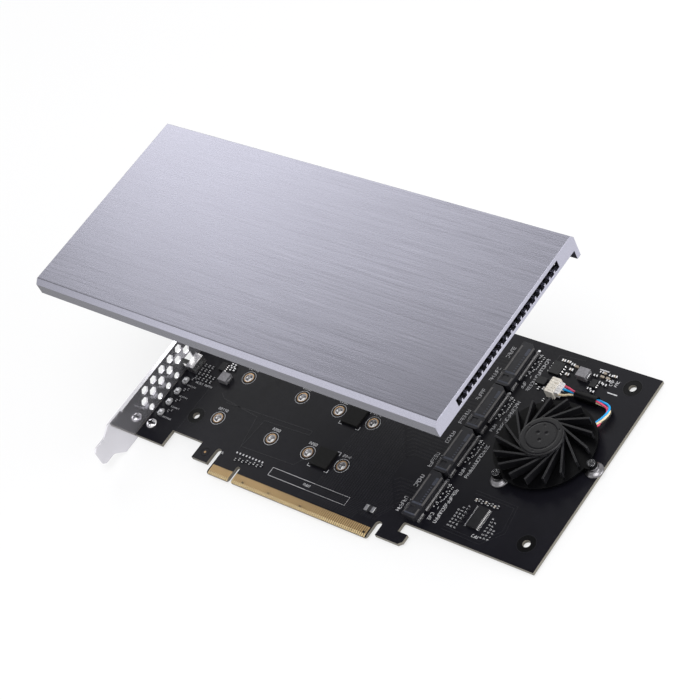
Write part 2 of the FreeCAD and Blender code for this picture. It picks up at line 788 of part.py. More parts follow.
def rounded_route(points):
    """Straight runs joined by tangent arcs, each as large as its two runs allow."""
    edges = []
    radii = []
    start = points[0]
    for i in range(1, len(points) - 1):
        back = points[i - 1] - points[i]
        ahead = points[i + 1] - points[i]
        tangent = 0.45 * min(back.Length, ahead.Length)
        half_turn = (math.pi - back.getAngle(ahead)) / 2
        radius = tangent / math.tan(half_turn)
        radii.append(radius)
        back.normalize()
        ahead.normalize()
        enter = points[i] + back * tangent
        leave = points[i] + ahead * tangent
        middle = points[i] + (back + ahead).normalize() * (radius / math.cos(half_turn) - radius)
        edges.append(Part.LineSegment(start, enter).toShape())
        edges.append(Part.Arc(enter, middle, leave).toShape())
        start = leave
    edges.append(Part.LineSegment(start, points[-1]).toShape())
    return Part.Wire(edges), radii


def beside(points, across):
    """The same plan route moved to its left by a set distance, with mitred corners."""
    runs = [(b - a).normalize() for a, b in zip(points, points[1:])]
    lefts = [Vec(-run.y, run.x, 0) for run in runs]
    before = [lefts[0]] + lefts
    after = lefts + [lefts[-1]]
    return [point + (u + v) * (across / (1 + u.dot(v)))
            for point, u, v in zip(points, before, after)]


# The lead runs along the back, turns in a loop and passes under the base plate into the cup
fan_middle = Vec(fan_x, fan_y, 0)
lead_y = fan_y + size("lead_offset")
LEAD_PLAN = [
    fan_middle + Vec(-3.6, size("lead_offset"), 0),
    fan_middle + Vec(12.8, size("lead_offset"), 0),
    fan_middle + Vec(15.2, 22.4, 0),
    fan_middle + Vec(13.2, 14.7, 0),
    fan_middle + lead_dir * 7.3,
]


def lead_wire(name, pin_y, across, above):
    height = Vec(0, 0, TOP + size("lead_z") + above)
    points = [Vec(plug_end - 1.5, pin_y, wire_z), Vec(plug_end + 1.3, pin_y, wire_z)]
    points += [point + height for point in beside(LEAD_PLAN, across)]
    path, radii = rounded_route(points)
    section = [points[0] + Vec(0, y, z)
               for y, z in ring_points(0, 0, size("wire_r"), int(size("wire_sides")))]
    profile = Part.makePolygon(section + [section[0]])
    tube = path.makePipeShell([profile], True, True)
    expected = Part.Face(profile).Area * path.Length
    print(name, "length", round(path.Length, 2), "radii", [round(r, 2) for r in radii],
          "volume ratio", round(tube.Volume / expected, 4))
    return group(name, [tube])


gap = size("wire_gap")
lead_wire("lead_wire_red", pin_rows[3], gap, gap)
lead_wire("lead_wire_blue", pin_rows[2], gap, -gap)
lead_wire("lead_wire_black", pin_rows[1], -gap, -gap)
lead_wire("lead_wire_yellow", pin_rows[0], -gap, gap)

sleeve_start = Vec(fan_x + size("sleeve_start"), lead_y, TOP + size("lead_z"))
sleeve_length = size("sleeve_length")
sleeve = Part.makeCylinder(size("sleeve_r"), sleeve_length, sleeve_start, Vec(1, 0, 0))
sleeve = sleeve.cut(Part.makeCylinder(size("sleeve_r") - size("sleeve_wall"), sleeve_length,
                                      sleeve_start, Vec(1, 0, 0)))
group("lead_sleeve", [sleeve])


# Parts soldered to the board: (x, y, length, width, height), placed from what they serve
def soldered(name, pieces):
    return group(name, [centred_block(x, y, TOP, a, b, c) for x, y, a, b, c in pieces])


switch_end = size("switch_x") + size("switch_depth")
socket_end = size("socket_x") + size("socket_depth")
coil = size("inductor_side")
chip_l = size("chip_length")
chip_w = size("chip_width")
chip_h = size("chip_height")
cap_l = size("capacitor_length")
cap_w = size("capacitor_width")
cap_h = size("capacitor_height")
power_y = header_y + 13.9
soldered("power_inductors", [(header_x + 9.3, power_y, coil + 0.2, coil, 3.0),
                             (switch_end + 15.7, switch_mid - 1.4, coil, coil, 2.4)])
soldered("regulator_chips", [(header_x - 3.4, power_y - 0.5, chip_l, chip_w, chip_h),
                             (header_x - 5.9, header_y + 5.8, chip_l - 0.4, chip_w - 2.8, chip_h),
                             (header_x + 15.1, power_y - 2.1, chip_l - 2.4, chip_w - 2.4, chip_h),
                             (switch_end + 10.5, switch_mid + 3.7, chip_l - 2.0, chip_w - 2.0,
                              chip_h)])
controller_x = socket_end + size("controller_gap")
controller_l = size("controller_length")
soldered("controller_chip", [(controller_x, ROWS[0], controller_l, controller_l + 4.9,
                              size("controller_height"))])
soldered("chip_capacitors", [
    (header_x + step_x, power_y + step_y, cap_l, cap_w, cap_h)
    for step_x, step_y in ((16.5, 2.1), (19.1, 2.1), (16.5, 3.9), (3.9, 2.9))
])
soldered("chip_resistors", [(strip_end - 5.7, size("board_front") - 0.4, cap_l + 1.2, cap_l, cap_h)]
         + [(socket_end + 4.3, row_y + step, cap_w - 0.3, cap_l - 0.5, cap_h / 2)
            for row_y in ROWS for step in (4.7, 7.8)]
         + [(controller_x - 5.7, ROWS[0] - 4.0 + 2.0 * k, cap_l - 0.5, cap_w - 0.3, cap_h / 2)
            for k in range(4)])


# Cover, drawn about its own top corner and then lifted off its seat
cover_x = seat_x + size("lift_x")
cover_y = seat_y + size("lift_y")
cover_z = TOP + size("cover_stand") + size("lift_z")
cover = new_body("cover", cover_x, cover_y, cover_z)
width = cover_width
roof = size("cover_top")
depth = size("cover_depth")
section = add_sketch(cover, "YZ_Plane")
back_depth = size("cover_back_depth")
draw_outline(section, [
    (0.0, -size("cover_chamfer")), (size("cover_chamfer"), 0.0),
    (width - size("cover_back_chamfer"), 0.0), (width, -size("cover_chamfer")),
    (width, -back_depth), (width - size("cover_back_wall"), -back_depth),
    (width - size("cover_back_wall"), -roof), (size("cover_front_wall"), -roof),
    (size("cover_front_wall"), -depth), (0.0, -depth),
])
pad(cover, section, str(cover_length))

ends = add_sketch(cover, "XY_Plane", -roof)
inner_front = size("cover_front_wall")
inner_back = width - size("cover_back_wall")
length = cover_length
draw_box(ends, 0, inner_front, size("cover_end_wall"), inner_back)
draw_box(ends, length - size("cover_end_wall"), inner_front, length, inner_back)
pad(cover, ends, "Sizes.cover_depth - Sizes.cover_top", reverse=True)

vent_window = add_sketch(cover, "YZ_Plane", length)
window_low = -size("window_low")
window_end = width - size("window_inset")
comb_pitch = (window_end - size("window_start") - 2.5) / size("comb_count")
corners = [(size("window_start"), -roof), (size("window_start"), window_low)]
tooth = size("comb_width")
rise = window_low + size("comb_height")
for k in range(int(size("comb_count"))):
    left = size("window_start") + 2.2 + k * comb_pitch
    corners += [(left, window_low), (left, rise - 0.5), (left + tooth, rise),
                (left + tooth, window_low)]
corners += [(window_end, window_low), (window_end, -roof)]
draw_outline(vent_window, corners)
pocket(cover, vent_window, "Sizes.cover_end_wall")

fins = add_sketch(cover, "XY_Plane", -roof)
fin_end = length - size("cover_end_wall") - 0.8
for k in range(int(size("comb_count"))):
    left = size("window_start") + 0.6 + k * comb_pitch
    draw_box(fins, fin_end - size("fin_length"), left, fin_end, left + tooth)
pad(cover, fins, "Sizes.fin_drop", reverse=True)

spreaders = add_sketch(cover, "XY_Plane", -roof)
spread_half = size("spreader_width") / 2
spread_start = size("hole_110") + size("spreader_start_gap") - seat_x
spread_end = size("socket_x") - size("spreader_end_gap") - seat_x
for row_y in ROWS:
    middle = row_y - seat_y
    draw_box(spreaders, spread_start, middle - spread_half, spread_end, middle + spread_half)
pad(cover, spreaders, "Sizes.spreader_drop - Sizes.cover_top", reverse=True)

bosses = add_sketch(cover, "XY_Plane", -roof)
boss_spots = [(fix_x - seat_x, fix_y - seat_y) for fix_x in FIX_COLUMNS for fix_y in FIX_ROWS]
for spot_x, spot_y in boss_spots:
    draw_circle(bosses, spot_x, spot_y, size("boss_r"))
pad(cover, bosses, "Sizes.cover_stand - Sizes.cover_top", reverse=True)
boss_holes = add_sketch(cover, "XY_Plane", -size("cover_stand"))
for spot_x, spot_y in boss_spots:
    draw_circle(boss_holes, spot_x, spot_y, size("boss_hole_r"))
pocket(cover, boss_holes, "8", reverse=True)

# Thin guide under the fins that leads the air to the window
guide_front = size("window_start") - 0.4
group("air_guide", [block(cover_x + fin_end - size("fin_length"), cover_y + guide_front,
                          cover_z - roof - size("fin_drop") - size("guide_thick"),
                          size("fin_length"), window_end + 0.4 - guide_front,
                          size("guide_thick"))])

group("thermal_pads", [
    block(cover_x + spread_start + 1.0, cover_y + row_y - seat_y - spread_half + 0.2,
          cover_z - size("spreader_drop") - size("pad_thick"), spread_end - spread_start - 2.0,
          size("spreader_width") - 0.4, size("pad_thick"))
    for row_y in ROWS
])


# Checks and export
doc.recompute()
problems = []
for item in doc.Objects:
    if "Invalid" in item.State or "Error" in item.State:
        problems.append(item.Name + " state " + str(item.State))
for node in NODES:
    if node.Shape.isNull() or not node.Shape.isValid():
        problems.append(node.Label + " shape")
assert not problems, problems
for node in NODES:
    node.Shape.exportStep(f"parts/{node.Label}.step")
    print(node.Label, len(node.Shape.Solids), round(node.Shape.Volume, 2))
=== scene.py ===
import bpy
import bmesh
import math
import random
from mathutils import Matrix, Vector


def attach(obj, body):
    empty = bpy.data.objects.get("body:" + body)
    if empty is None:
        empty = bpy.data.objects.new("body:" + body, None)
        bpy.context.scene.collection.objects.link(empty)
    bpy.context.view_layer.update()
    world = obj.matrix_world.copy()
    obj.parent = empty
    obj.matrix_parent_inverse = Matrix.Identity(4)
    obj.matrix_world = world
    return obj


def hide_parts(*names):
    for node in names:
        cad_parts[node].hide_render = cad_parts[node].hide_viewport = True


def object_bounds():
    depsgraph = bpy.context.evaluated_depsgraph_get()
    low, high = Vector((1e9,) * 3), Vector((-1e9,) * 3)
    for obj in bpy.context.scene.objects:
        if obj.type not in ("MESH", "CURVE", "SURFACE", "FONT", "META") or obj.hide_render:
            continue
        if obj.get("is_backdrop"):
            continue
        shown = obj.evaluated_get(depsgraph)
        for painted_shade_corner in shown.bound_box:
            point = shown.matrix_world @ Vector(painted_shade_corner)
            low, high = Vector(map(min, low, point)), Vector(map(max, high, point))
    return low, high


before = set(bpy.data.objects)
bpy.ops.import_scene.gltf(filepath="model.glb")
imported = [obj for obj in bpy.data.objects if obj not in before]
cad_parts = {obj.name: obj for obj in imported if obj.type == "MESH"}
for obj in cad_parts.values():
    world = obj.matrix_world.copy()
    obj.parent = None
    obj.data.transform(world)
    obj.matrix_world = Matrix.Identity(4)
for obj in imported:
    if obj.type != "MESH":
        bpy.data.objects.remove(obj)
cad_low, cad_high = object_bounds()
scene = bpy.context.scene
random.seed(7)

# One millimetre in metres
MM = 0.001

# Places and sizes repeated from the part's source, in millimetres
TOP = 1.57
ROWS = [24.6 + 22.4 * k for k in range(4)]
COLUMNS = [-25.55, 4.45, 24.45, 42.45]
SOCKET_X = 82.0
SOCKET_END = 88.6
FAN = (118.9, 62.1)
FAN_SCREWS = [(108.6, 43.0), (141.6, 60.4)]
BRACKET_SCREWS = [(-52.7, 10.9), (-52.7, 92.0)]
LEDS = [17.4 + 5.93 * k for k in range(4)]
COVER_HOLES = [(x, y) for x in (-36.1, 135.0) for y in (22.1, 99.4)]
SOCKET_ROOF = TOP + 3.0
PAD_X = 33.2
HUB_RADIUS = 8.8
HUB_TOP = TOP + 8.8
PIN_Z = TOP + 2.2
LEAD_Z = TOP + 1.95
WIRE_GAP = 0.53
WIRE_RADIUS = 0.45

# Places and heights that the pieces below share, in millimetres
FIDUCIAL = (-19.7, 8.2)
LIGHT_PARTS_Y = (18.2, 24.0, 29.9, 35.9)
INK_LOW = TOP + 0.005
INK_HIGH = TOP + 0.03
RUN_HIGH = TOP + 0.035
ROOF_MARK_Z = SOCKET_ROOF - 0.02

# Values between which most of a noise texture lies
NOISE = (0.3, 0.7)


# Camera at the photograph's place, in metres
right = Vector((0.75563, 0.55721, -0.34429))
upward = Vector((-0.25929, 0.73717, 0.62398))
forward = Vector((-0.60149, 0.38223, -0.70151))
place = Matrix.Identity(4)
for row in range(3):
    place[row][0] = right[row]
    place[row][1] = upward[row]
    place[row][2] = -forward[row]
place.translation = Vector((0.55595, -0.27210, 0.63888))
lens = bpy.data.cameras.new("camera")
lens.lens = 113.03
lens.sensor_width = 36.0
lens.clip_start = 0.02
lens.clip_end = 20.0
camera = bpy.data.objects.new("camera", lens)
scene.collection.objects.link(camera)
camera.matrix_world = place
scene.camera = camera


# Materials
class Nodes:
    """A short way to add and join shader nodes."""

    def __init__(self, tree):
        self.tree = tree

    def add(self, kind, inputs=(), **settings):
        """New node; an input is a value or another node's output."""
        node = self.tree.nodes.new("ShaderNode" + kind)
        for key, value in settings.items():
            setattr(node, key, value)
        for key, value in dict(inputs).items():
            if isinstance(value, bpy.types.NodeSocket):
                self.tree.links.new(value, node.inputs[key])
            else:
                node.inputs[key].default_value = value
        return node

    def mix(self, factor, one, two):
        """Colour between two others."""
        node = self.add("Mix", data_type="RGBA")
        for socket, value in ((node.inputs[0], factor), (node.inputs[6], one), (node.inputs[7], two)):
            if isinstance(value, bpy.types.NodeSocket):
                self.tree.links.new(value, socket)
            else:
                socket.default_value = value
        return node.outputs[2]

    def spread(self, value, low, high, start=0.0, end=1.0):
        """Value from low to high while the given one goes from start to end."""
        return self.add("MapRange", {"Value": value, "From Min": start, "From Max": end,
                                     "To Min": low, "To Max": high}).outputs[0]


def shade(colour, amount):
    """Colour made lighter or darker, with full opacity."""
    return tuple(min(1.0, c * amount) for c in colour) + (1.0,)


def finish(name, colour, rough=0.5, metal=0.0, specular=0.5, vary=0.15, scale=250.0,
           stretch=(1, 1, 1), rough_vary=0.06, bump=0.2, bump_scale=2500.0, bump_depth=2e-5,
           wear_and_highlight=0.0, wear_and_highlight_colour=None, bevel=0.08, coat=0.0, edge=None):
    """Procedural finish: colour drift, grain, bump, and rubbed edges that are lighter partly as wear and
    partly as painted highlight.
    """
    material = bpy.data.materials.new(name)
    material.use_nodes = True
    material.diffuse_color = tuple(colour) + (1.0,)
    tree = material.node_tree
    tree.nodes.clear()
    n = Nodes(tree)
    coords = n.add("TexCoord")
    spot = n.add("Mapping", {"Vector": coords.outputs["Object"], "Scale": stretch}).outputs[0]
    drift = n.add("TexNoise", {"Vector": spot, "Scale": scale, "Detail": 4.0}).outputs["Fac"]
    grain = n.add("TexNoise", {"Vector": spot, "Scale": bump_scale, "Detail": 3.0}).outputs["Fac"]
    tone = n.spread(drift, 0.0, 1.0, *NOISE)
    base = n.mix(tone, shade(colour, 1 - vary), shade(colour, 1 + vary))
    base = n.mix(n.spread(grain, 0.0, 0.35, 0.35, 0.75), base, shade(colour, 1 - 0.8 * vary))
    if edge is not None:
        upright = n.add("SeparateXYZ", {"Vector": coords.outputs["Normal"]}).outputs[2]
        flat = n.add("Math", {0: upright}, operation="ABSOLUTE").outputs[0]
        side = n.add("Math", {0: flat, 1: 0.7}, operation="LESS_THAN").outputs[0]
        fibres = n.add("TexNoise", {"Vector": coords.outputs["Object"], "Scale": 1500.0}).outputs["Fac"]
        base = n.mix(side, base, n.mix(fibres, shade(edge, 0.7), shade(edge, 1.3)))
    rounded = n.add("Bevel", {"Radius": bevel * MM}, samples=4).outputs[0]
    # Rounded edges tinted towards the wear colour: partly wear, partly painted highlight
    if wear_and_highlight:
        true = n.add("NewGeometry").outputs["Normal"]
        facing = n.add("VectorMath", {0: rounded, 1: true}, operation="DOT_PRODUCT").outputs["Value"]
        rubbed_and_lit = n.spread(facing, wear_and_highlight, 0.0, 0.86, 0.995)
        broken = n.add("Math", {0: rubbed_and_lit, 1: n.spread(drift, 0.5, 1.2, 0.3, 0.6)},
                       operation="MULTIPLY", use_clamp=True).outputs[0]
        base = n.mix(broken, base, shade(wear_and_highlight_colour or colour, 1.0))
    normal = n.add("Bump", {"Height": grain, "Strength": bump, "Distance": bump_depth,
                            "Normal": rounded}).outputs[0]
    gloss = n.spread(grain, rough - rough_vary, rough + rough_vary, *NOISE)
    shader = n.add("BsdfPrincipled", {"Base Color": base, "Roughness": gloss, "Normal": normal,
                                      "Metallic": metal, "Specular IOR Level": specular,
                                      "Coat Weight": coat, "Coat Roughness": 0.15})
    n.add("OutputMaterial", {"Surface": shader.outputs[0]})
    return material


solder_mask = finish("solder_mask", (0.0054, 0.0052, 0.0080), 0.40, specular=0.13, vary=0.25,
                     scale=45.0, bump=0.12, bump_scale=900.0, edge=(0.20, 0.185, 0.155))
mask_trace = finish("mask_trace", (0.0095, 0.0095, 0.0125), 0.36, specular=0.20, vary=0.2,
                    scale=200.0, bump=0.05)
mask_dark = finish("mask_dark", (0.0016, 0.0016, 0.002), 0.40, specular=0.10, vary=0.2, bump=0.08)
silk_white = finish("silk_white", (0.62, 0.62, 0.64), 0.6, specular=0.2, vary=0.2, scale=1800.0,
                    bump=0.3)
gold = finish("gold", (0.47, 0.32, 0.15), 0.46, 0.62, vary=0.14, scale=350.0,
              stretch=(6, 1, 1), bump=0.12)
gold_bright = finish("gold_bright", (0.64, 0.49, 0.27), 0.3, 1.0, vary=0.12, scale=600.0, bump=0.1)
copper_rim = finish("copper_rim", (0.26, 0.165, 0.085), 0.34, 1.0, vary=0.2, scale=900.0, bump=0.1)
nickel = finish("nickel", (0.30, 0.295, 0.305), 0.3, 1.0, vary=0.15, scale=900.0, bump=0.15, wear_and_highlight=0.5,
                wear_and_highlight_colour=(0.8, 0.8, 0.8))
post_metal = finish("post_metal", (0.19, 0.185, 0.195), 0.32, 1.0, vary=0.3, scale=500.0, bump=0.3,
                    bump_scale=900.0, bump_depth=6e-5, wear_and_highlight=0.5, wear_and_highlight_colour=(0.55, 0.55, 0.56))
solder = finish("solder", (0.50, 0.50, 0.51), 0.34, 1.0, vary=0.25, scale=1500.0, bump=0.35,
                bump_scale=4000.0)
tinned = finish("tinned", (0.66, 0.65, 0.65), 0.28, 1.0, vary=0.15, scale=700.0, bump=0.15,
                wear_and_highlight=0.6, wear_and_highlight_colour=(0.92, 0.91, 0.9))
tail_grey = finish("tail_grey", (0.20, 0.195, 0.20), 0.42, 0.85, vary=0.2, scale=900.0, bump=0.2)
socket_black = finish("socket_black", (0.018, 0.018, 0.022), 0.42, specular=0.18, vary=0.22,
                      scale=500.0, bump=0.22, wear_and_highlight=0.7, wear_and_highlight_colour=(0.11, 0.105, 0.105), bevel=0.18)
# Painted highlight: lighter grey for the ribs along the edges of the socket roof
socket_rib_highlight = finish("socket_rib_highlight", (0.105, 0.10, 0.10), 0.45, specular=0.25, vary=0.2,
                      scale=500.0, bump=0.22)
socket_mark = finish("socket_mark", (0.055, 0.060, 0.080), 0.5, specular=0.2, vary=0.25,
                     scale=900.0, bump=0.1)
rubber_black = finish("rubber_black", (0.004, 0.004, 0.004), 0.6, specular=0.15, vary=0.25,
                      scale=700.0, bump=0.35, wear_and_highlight=0.5, wear_and_highlight_colour=(0.03, 0.03, 0.032))
mirror_steel = finish("mirror_steel", (0.66, 0.65, 0.69), 0.09, 0.84, vary=0.08, scale=60.0,
                      rough_vary=0.03, bump=0.03, bump_scale=400.0, wear_and_highlight=0.5,
                      wear_and_highlight_colour=(0.95, 0.95, 0.96), bevel=0.12)
screw_bright = finish("screw_bright", (0.62, 0.61, 0.62), 0.18, 1.0, vary=0.1, scale=700.0,
                      bump=0.1, wear_and_highlight=0.5, wear_and_highlight_colour=(0.95, 0.95, 0.95), bevel=0.12)
screw_dark = finish("screw_dark", (0.05, 0.05, 0.055), 0.24, 0.9, vary=0.2, scale=700.0,
                    bump=0.1, wear_and_highlight=0.9, wear_and_highlight_colour=(0.7, 0.7, 0.7), bevel=0.14)
plastic_black = finish("plastic_black", (0.008, 0.008, 0.009), 0.4, specular=0.25, vary=0.2,
                       scale=400.0, bump=0.25, wear_and_highlight=0.6, wear_and_highlight_colour=(0.07, 0.07, 0.07))
led_white = finish("led_white", (0.45, 0.45, 0.46), 0.4, vary=0.1, bump=0.15)
led_resin = finish("led_resin", (0.93, 0.93, 0.97), 0.15, vary=0.08, bump=0.05, coat=0.4)
fan_black = finish("fan_black", (0.0075, 0.0075, 0.009), 0.38, specular=0.24, vary=0.2, scale=180.0,
                   bump=0.18, bump_scale=1800.0, wear_and_highlight=0.9, wear_and_highlight_colour=(0.075, 0.073, 0.080),
                   bevel=0.16)
hub_black = finish("hub_black", (0.0085, 0.0082, 0.0095), 0.32, specular=0.24, vary=0.2, scale=180.0,
                   bump=0.12, bump_scale=1800.0, wear_and_highlight=1.0, wear_and_highlight_colour=(0.22, 0.21, 0.22),
                   bevel=0.14)
plate_black = finish("plate_black", (0.0016, 0.0016, 0.0020), 0.42, specular=0.07, vary=0.2,
                     scale=180.0, bump=0.18, bump_scale=1800.0, wear_and_highlight=0.6,
                     wear_and_highlight_colour=(0.02, 0.02, 0.022), bevel=0.14)
ferrite = finish("ferrite", (0.05, 0.05, 0.055), 0.5, 0.3, vary=0.2, bump=0.3)
brass = finish("brass", (0.60, 0.45, 0.25), 0.35, 1.0, vary=0.15, bump=0.2)
laminated = finish("laminated", (0.40, 0.40, 0.42), 0.35, 1.0, vary=0.15, stretch=(1, 1, 30))
copper_wire = finish("copper_wire", (0.50, 0.20, 0.09), 0.3, 0.9, vary=0.2, scale=500.0, bump=0.5,
                     stretch=(1, 1, 6))
cream = finish("cream", (0.87, 0.82, 0.74), 0.4, specular=0.3, vary=0.08, scale=300.0, bump=0.12,
               wear_and_highlight=0.5, wear_and_highlight_colour=(0.95, 0.93, 0.86), bevel=0.12)
plug_white = finish("plug_white", (0.84, 0.83, 0.84), 0.36, specular=0.3, vary=0.06, scale=300.0,
                    bump=0.1, wear_and_highlight=0.4, wear_and_highlight_colour=(0.95, 0.95, 0.95))
wire_red = finish("wire_red", (0.80, 0.085, 0.18), 0.36, specular=0.3, vary=0.12, scale=500.0,
                  bump=0.08)
wire_blue = finish("wire_blue", (0.012, 0.36, 0.80), 0.36, specular=0.3, vary=0.12, scale=500.0,
                   bump=0.08)
wire_black = finish("wire_black", (0.008, 0.008, 0.009), 0.36, specular=0.25, vary=0.2, scale=500.0,
                    bump=0.08)
wire_yellow = finish("wire_yellow", (0.80, 0.68, 0.46), 0.36, specular=0.3, vary=0.1, scale=500.0,
                     bump=0.08)
sleeve_black = finish("sleeve_black", (0.0028, 0.0028, 0.0032), 0.38, specular=0.13, vary=0.25,
                      scale=300.0, bump=0.35, bump_scale=700.0, bump_depth=8e-5)
inductor = finish("inductor", (0.215, 0.21, 0.225), 0.45, 0.35, specular=0.3, vary=0.22, scale=900.0,
                  bump=0.4, wear_and_highlight=0.6, wear_and_highlight_colour=(0.4, 0.4, 0.42), bevel=0.2)
chip_black = finish("chip_black", (0.0095, 0.0095, 0.011), 0.42, specular=0.22, vary=0.2, scale=700.0,
                    bump=0.3, wear_and_highlight=0.6, wear_and_highlight_colour=(0.07, 0.07, 0.075), bevel=0.12)
ceramic_tan = finish("ceramic_tan", (0.36, 0.31, 0.25), 0.42, specular=0.3, vary=0.2, scale=900.0,
                     bump=0.2)
ceramic_dark = finish("ceramic_dark", (0.022, 0.022, 0.025), 0.36, specular=0.3, vary=0.25,
                      scale=900.0, bump=0.2)
pad_grey = finish("pad_grey", (0.26, 0.27, 0.32), 0.7, specular=0.2, vary=0.15, scale=300.0,
                  bump=0.5, bump_scale=1200.0)


def brushed_aluminium():
    """Anodised metal brushed along x on top, with light and shade painted in by face and place: lighter
    end faces, chamfers and edges, darker walls, a darker right front corner, a darker left end of the
    front faces and a dark line along the top's front edge.
    """
    material = bpy.data.materials.new("brushed_aluminium")
    material.use_nodes = True
    tree = material.node_tree
    tree.nodes.clear()
    n = Nodes(tree)
    coords = n.add("TexCoord")
    spot = coords.outputs["Object"]
    colour = (0.195, 0.194, 0.230)
    long_lines = n.add("Mapping", {"Vector": spot, "Scale": (7.0, 1700.0, 300.0)}).outputs[0]
    short_lines = n.add("Mapping", {"Vector": spot, "Scale": (40.0, 3200.0, 300.0)}).outputs[0]
    coarse = n.add("TexNoise", {"Vector": long_lines, "Scale": 1.0, "Detail": 4.0,
                                "Roughness": 0.7}).outputs["Fac"]
    fine = n.add("TexNoise", {"Vector": short_lines, "Scale": 1.0, "Detail": 3.0}).outputs["Fac"]
    lines = n.add("Math", {0: coarse, 1: fine}, operation="ADD").outputs[0]
    blasted = n.add("TexNoise", {"Vector": spot, "Scale": 2600.0, "Detail": 2.0}).outputs["Fac"]

    def product(one, two):
        return n.add("Math", {0: one, 1: two}, operation="MULTIPLY").outputs[0]

    def toned(factor, under, low, high, pattern, edges):
        return n.mix(factor, under, n.mix(n.spread(pattern, 0.0, 1.0, *edges),
                                          shade(colour, low), shade(colour, high)))

    # Which way a face looks
    axes = n.add("SeparateXYZ", {"Vector": coords.outputs["Normal"]}).outputs
    top = n.spread(axes[2], 0.0, 1.0, 0.90, 0.97)
    endwise = n.add("Math", {0: axes[0]}, operation="ABSOLUTE").outputs[0]
    painted_light_ends = n.add("Math", {0: endwise, 1: 0.7}, operation="GREATER_THAN").outputs[0]
    sideways = n.add("Math", {0: axes[1]}, operation="ABSOLUTE").outputs[0]
    painted_shade_walls = n.add("Math", {0: sideways, 1: 0.85}, operation="GREATER_THAN").outputs[0]
    painted_light_slopes = product(n.spread(sideways, 0.0, 1.0, 0.3, 0.35), n.spread(axes[2], 0.0, 1.0, 0.3, 0.35))
    front = n.add("Math", {0: painted_shade_walls, 1: painted_light_slopes}, operation="MAXIMUM").outputs[0]

    # Painted shade by place on the cover, in metres: a dark line along the top's front edge, a darker
    # right front corner and a darker left end of the front faces
    along, across, _ = n.add("SeparateXYZ", {"Vector": spot}).outputs
    painted_shade_line = product(n.spread(across, 1.0, 0.0, 0.00868, 0.00888), top)
    painted_shade_corner = product(n.spread(along, 0.0, 0.55, 0.03, 0.14), n.spread(across, 1.0, 0.0, 0.005, 0.06))
    painted_shade_left = product(front, n.spread(along, 0.42, 0.0, -0.059, 0.03))

    cloud = n.add("TexNoise", {"Vector": spot, "Scale": 14.0, "Detail": 2.0}).outputs["Fac"]
    base = n.mix(n.spread(blasted, 0.0, 1.0, *NOISE), shade(colour, 1.0), shade(colour, 1.22))
    base = toned(top, base, 0.82, 1.18, lines, (0.72, 1.28))
    base = n.mix(n.spread(cloud, 0.0, 0.10, 0.4, 0.6), base, shade(colour, 0.75))
    # Painted shade: the top grows darker towards the right front corner
    base = n.mix(painted_shade_corner, base, shade(colour, 0.45))
    # Painted light: the end faces are made much lighter than the top
    base = toned(painted_light_ends, base, 2.25, 2.7, blasted, NOISE)
    # Painted shade: the front and back walls are made darker than the top
    base = toned(painted_shade_walls, base, 0.66, 0.82, blasted, NOISE)
    # Painted highlight: the chamfers are made lighter than the top
    base = toned(painted_light_slopes, base, 1.75, 2.0, blasted, NOISE)
    # Painted shade: the walls and chamfers grow darker towards the left end
    base = n.mix(painted_shade_left, base, shade(colour, 0.4))
    height = n.add("Mix", {0: top, 2: blasted, 3: lines}, data_type="FLOAT").outputs[0]
    rounded = n.add("Bevel", {"Radius": 0.25 * MM}, samples=4).outputs[0]
    true = n.add("NewGeometry").outputs["Normal"]
    facing = n.add("VectorMath", {0: rounded, 1: true}, operation="DOT_PRODUCT").outputs["Value"]
    # Painted highlight: rounded edges made lighter, except along the dark front line
    painted_edge_highlight = product(n.spread(facing, 0.6, 0.0, 0.93, 0.999), n.spread(painted_shade_line, 1.0, 0.0))
    base = n.mix(painted_edge_highlight, base, shade(colour, 2.6))
    # Painted shade: a dark line along the front edge of the top
    base = n.mix(n.spread(painted_shade_line, 0.0, 0.8), base, shade(colour, 0.4))
    normal = n.add("Bump", {"Height": height, "Strength": 0.015, "Distance": 2e-5,
                            "Normal": rounded}).outputs[0]
    gloss = n.spread(lines, 0.23, 0.31, 0.7, 1.3)
    gloss = n.add("Math", {0: gloss, 1: n.spread(painted_light_ends, 0.0, 0.12)}, operation="ADD").outputs[0]
    shader = n.add("BsdfPrincipled", {"Base Color": base, "Roughness": gloss, "Normal": normal,
                                      "Metallic": 0.94, "Specular IOR Level": 0.5})
    n.add("OutputMaterial", {"Surface": shader.outputs[0]})
    return material


aluminium = brushed_aluminium()

NODE_FINISH = {
    "circuit_board": solder_mask, "edge_contacts_top": gold, "edge_contacts_back": gold,
    "socket_anchor_tabs": solder, "drive_support_pads": rubber_black, "bracket": mirror_steel,
    "switch_shell": tinned, "switch_base": plastic_black, "switch_lever": plastic_black,
    "status_led_bodies": led_white, "status_led_lenses": led_resin, "fan_base": plate_black,
    "air_guide": rubber_black,
    "fan_impeller": fan_black, "fan_magnet": ferrite, "fan_shaft": screw_bright,
    "fan_bearing": brass, "fan_stator": laminated, "fan_coils": copper_wire,
    "fan_header": cream, "fan_header_pins": tinned, "fan_plug": plug_white,
    "lead_sleeve": sleeve_black, "power_inductors": inductor, "regulator_chips": chip_black,
    "controller_chip": chip_black, "chip_capacitors": ceramic_tan, "chip_resistors": ceramic_dark,
    "cover": aluminium, "thermal_pads": pad_grey, "fan_screws": screw_dark,
}
for number in range(1, 5):
    NODE_FINISH[f"drive_socket_{number}"] = socket_black
for node, material in NODE_FINISH.items():
    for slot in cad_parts[node].material_slots:
        slot.material = material


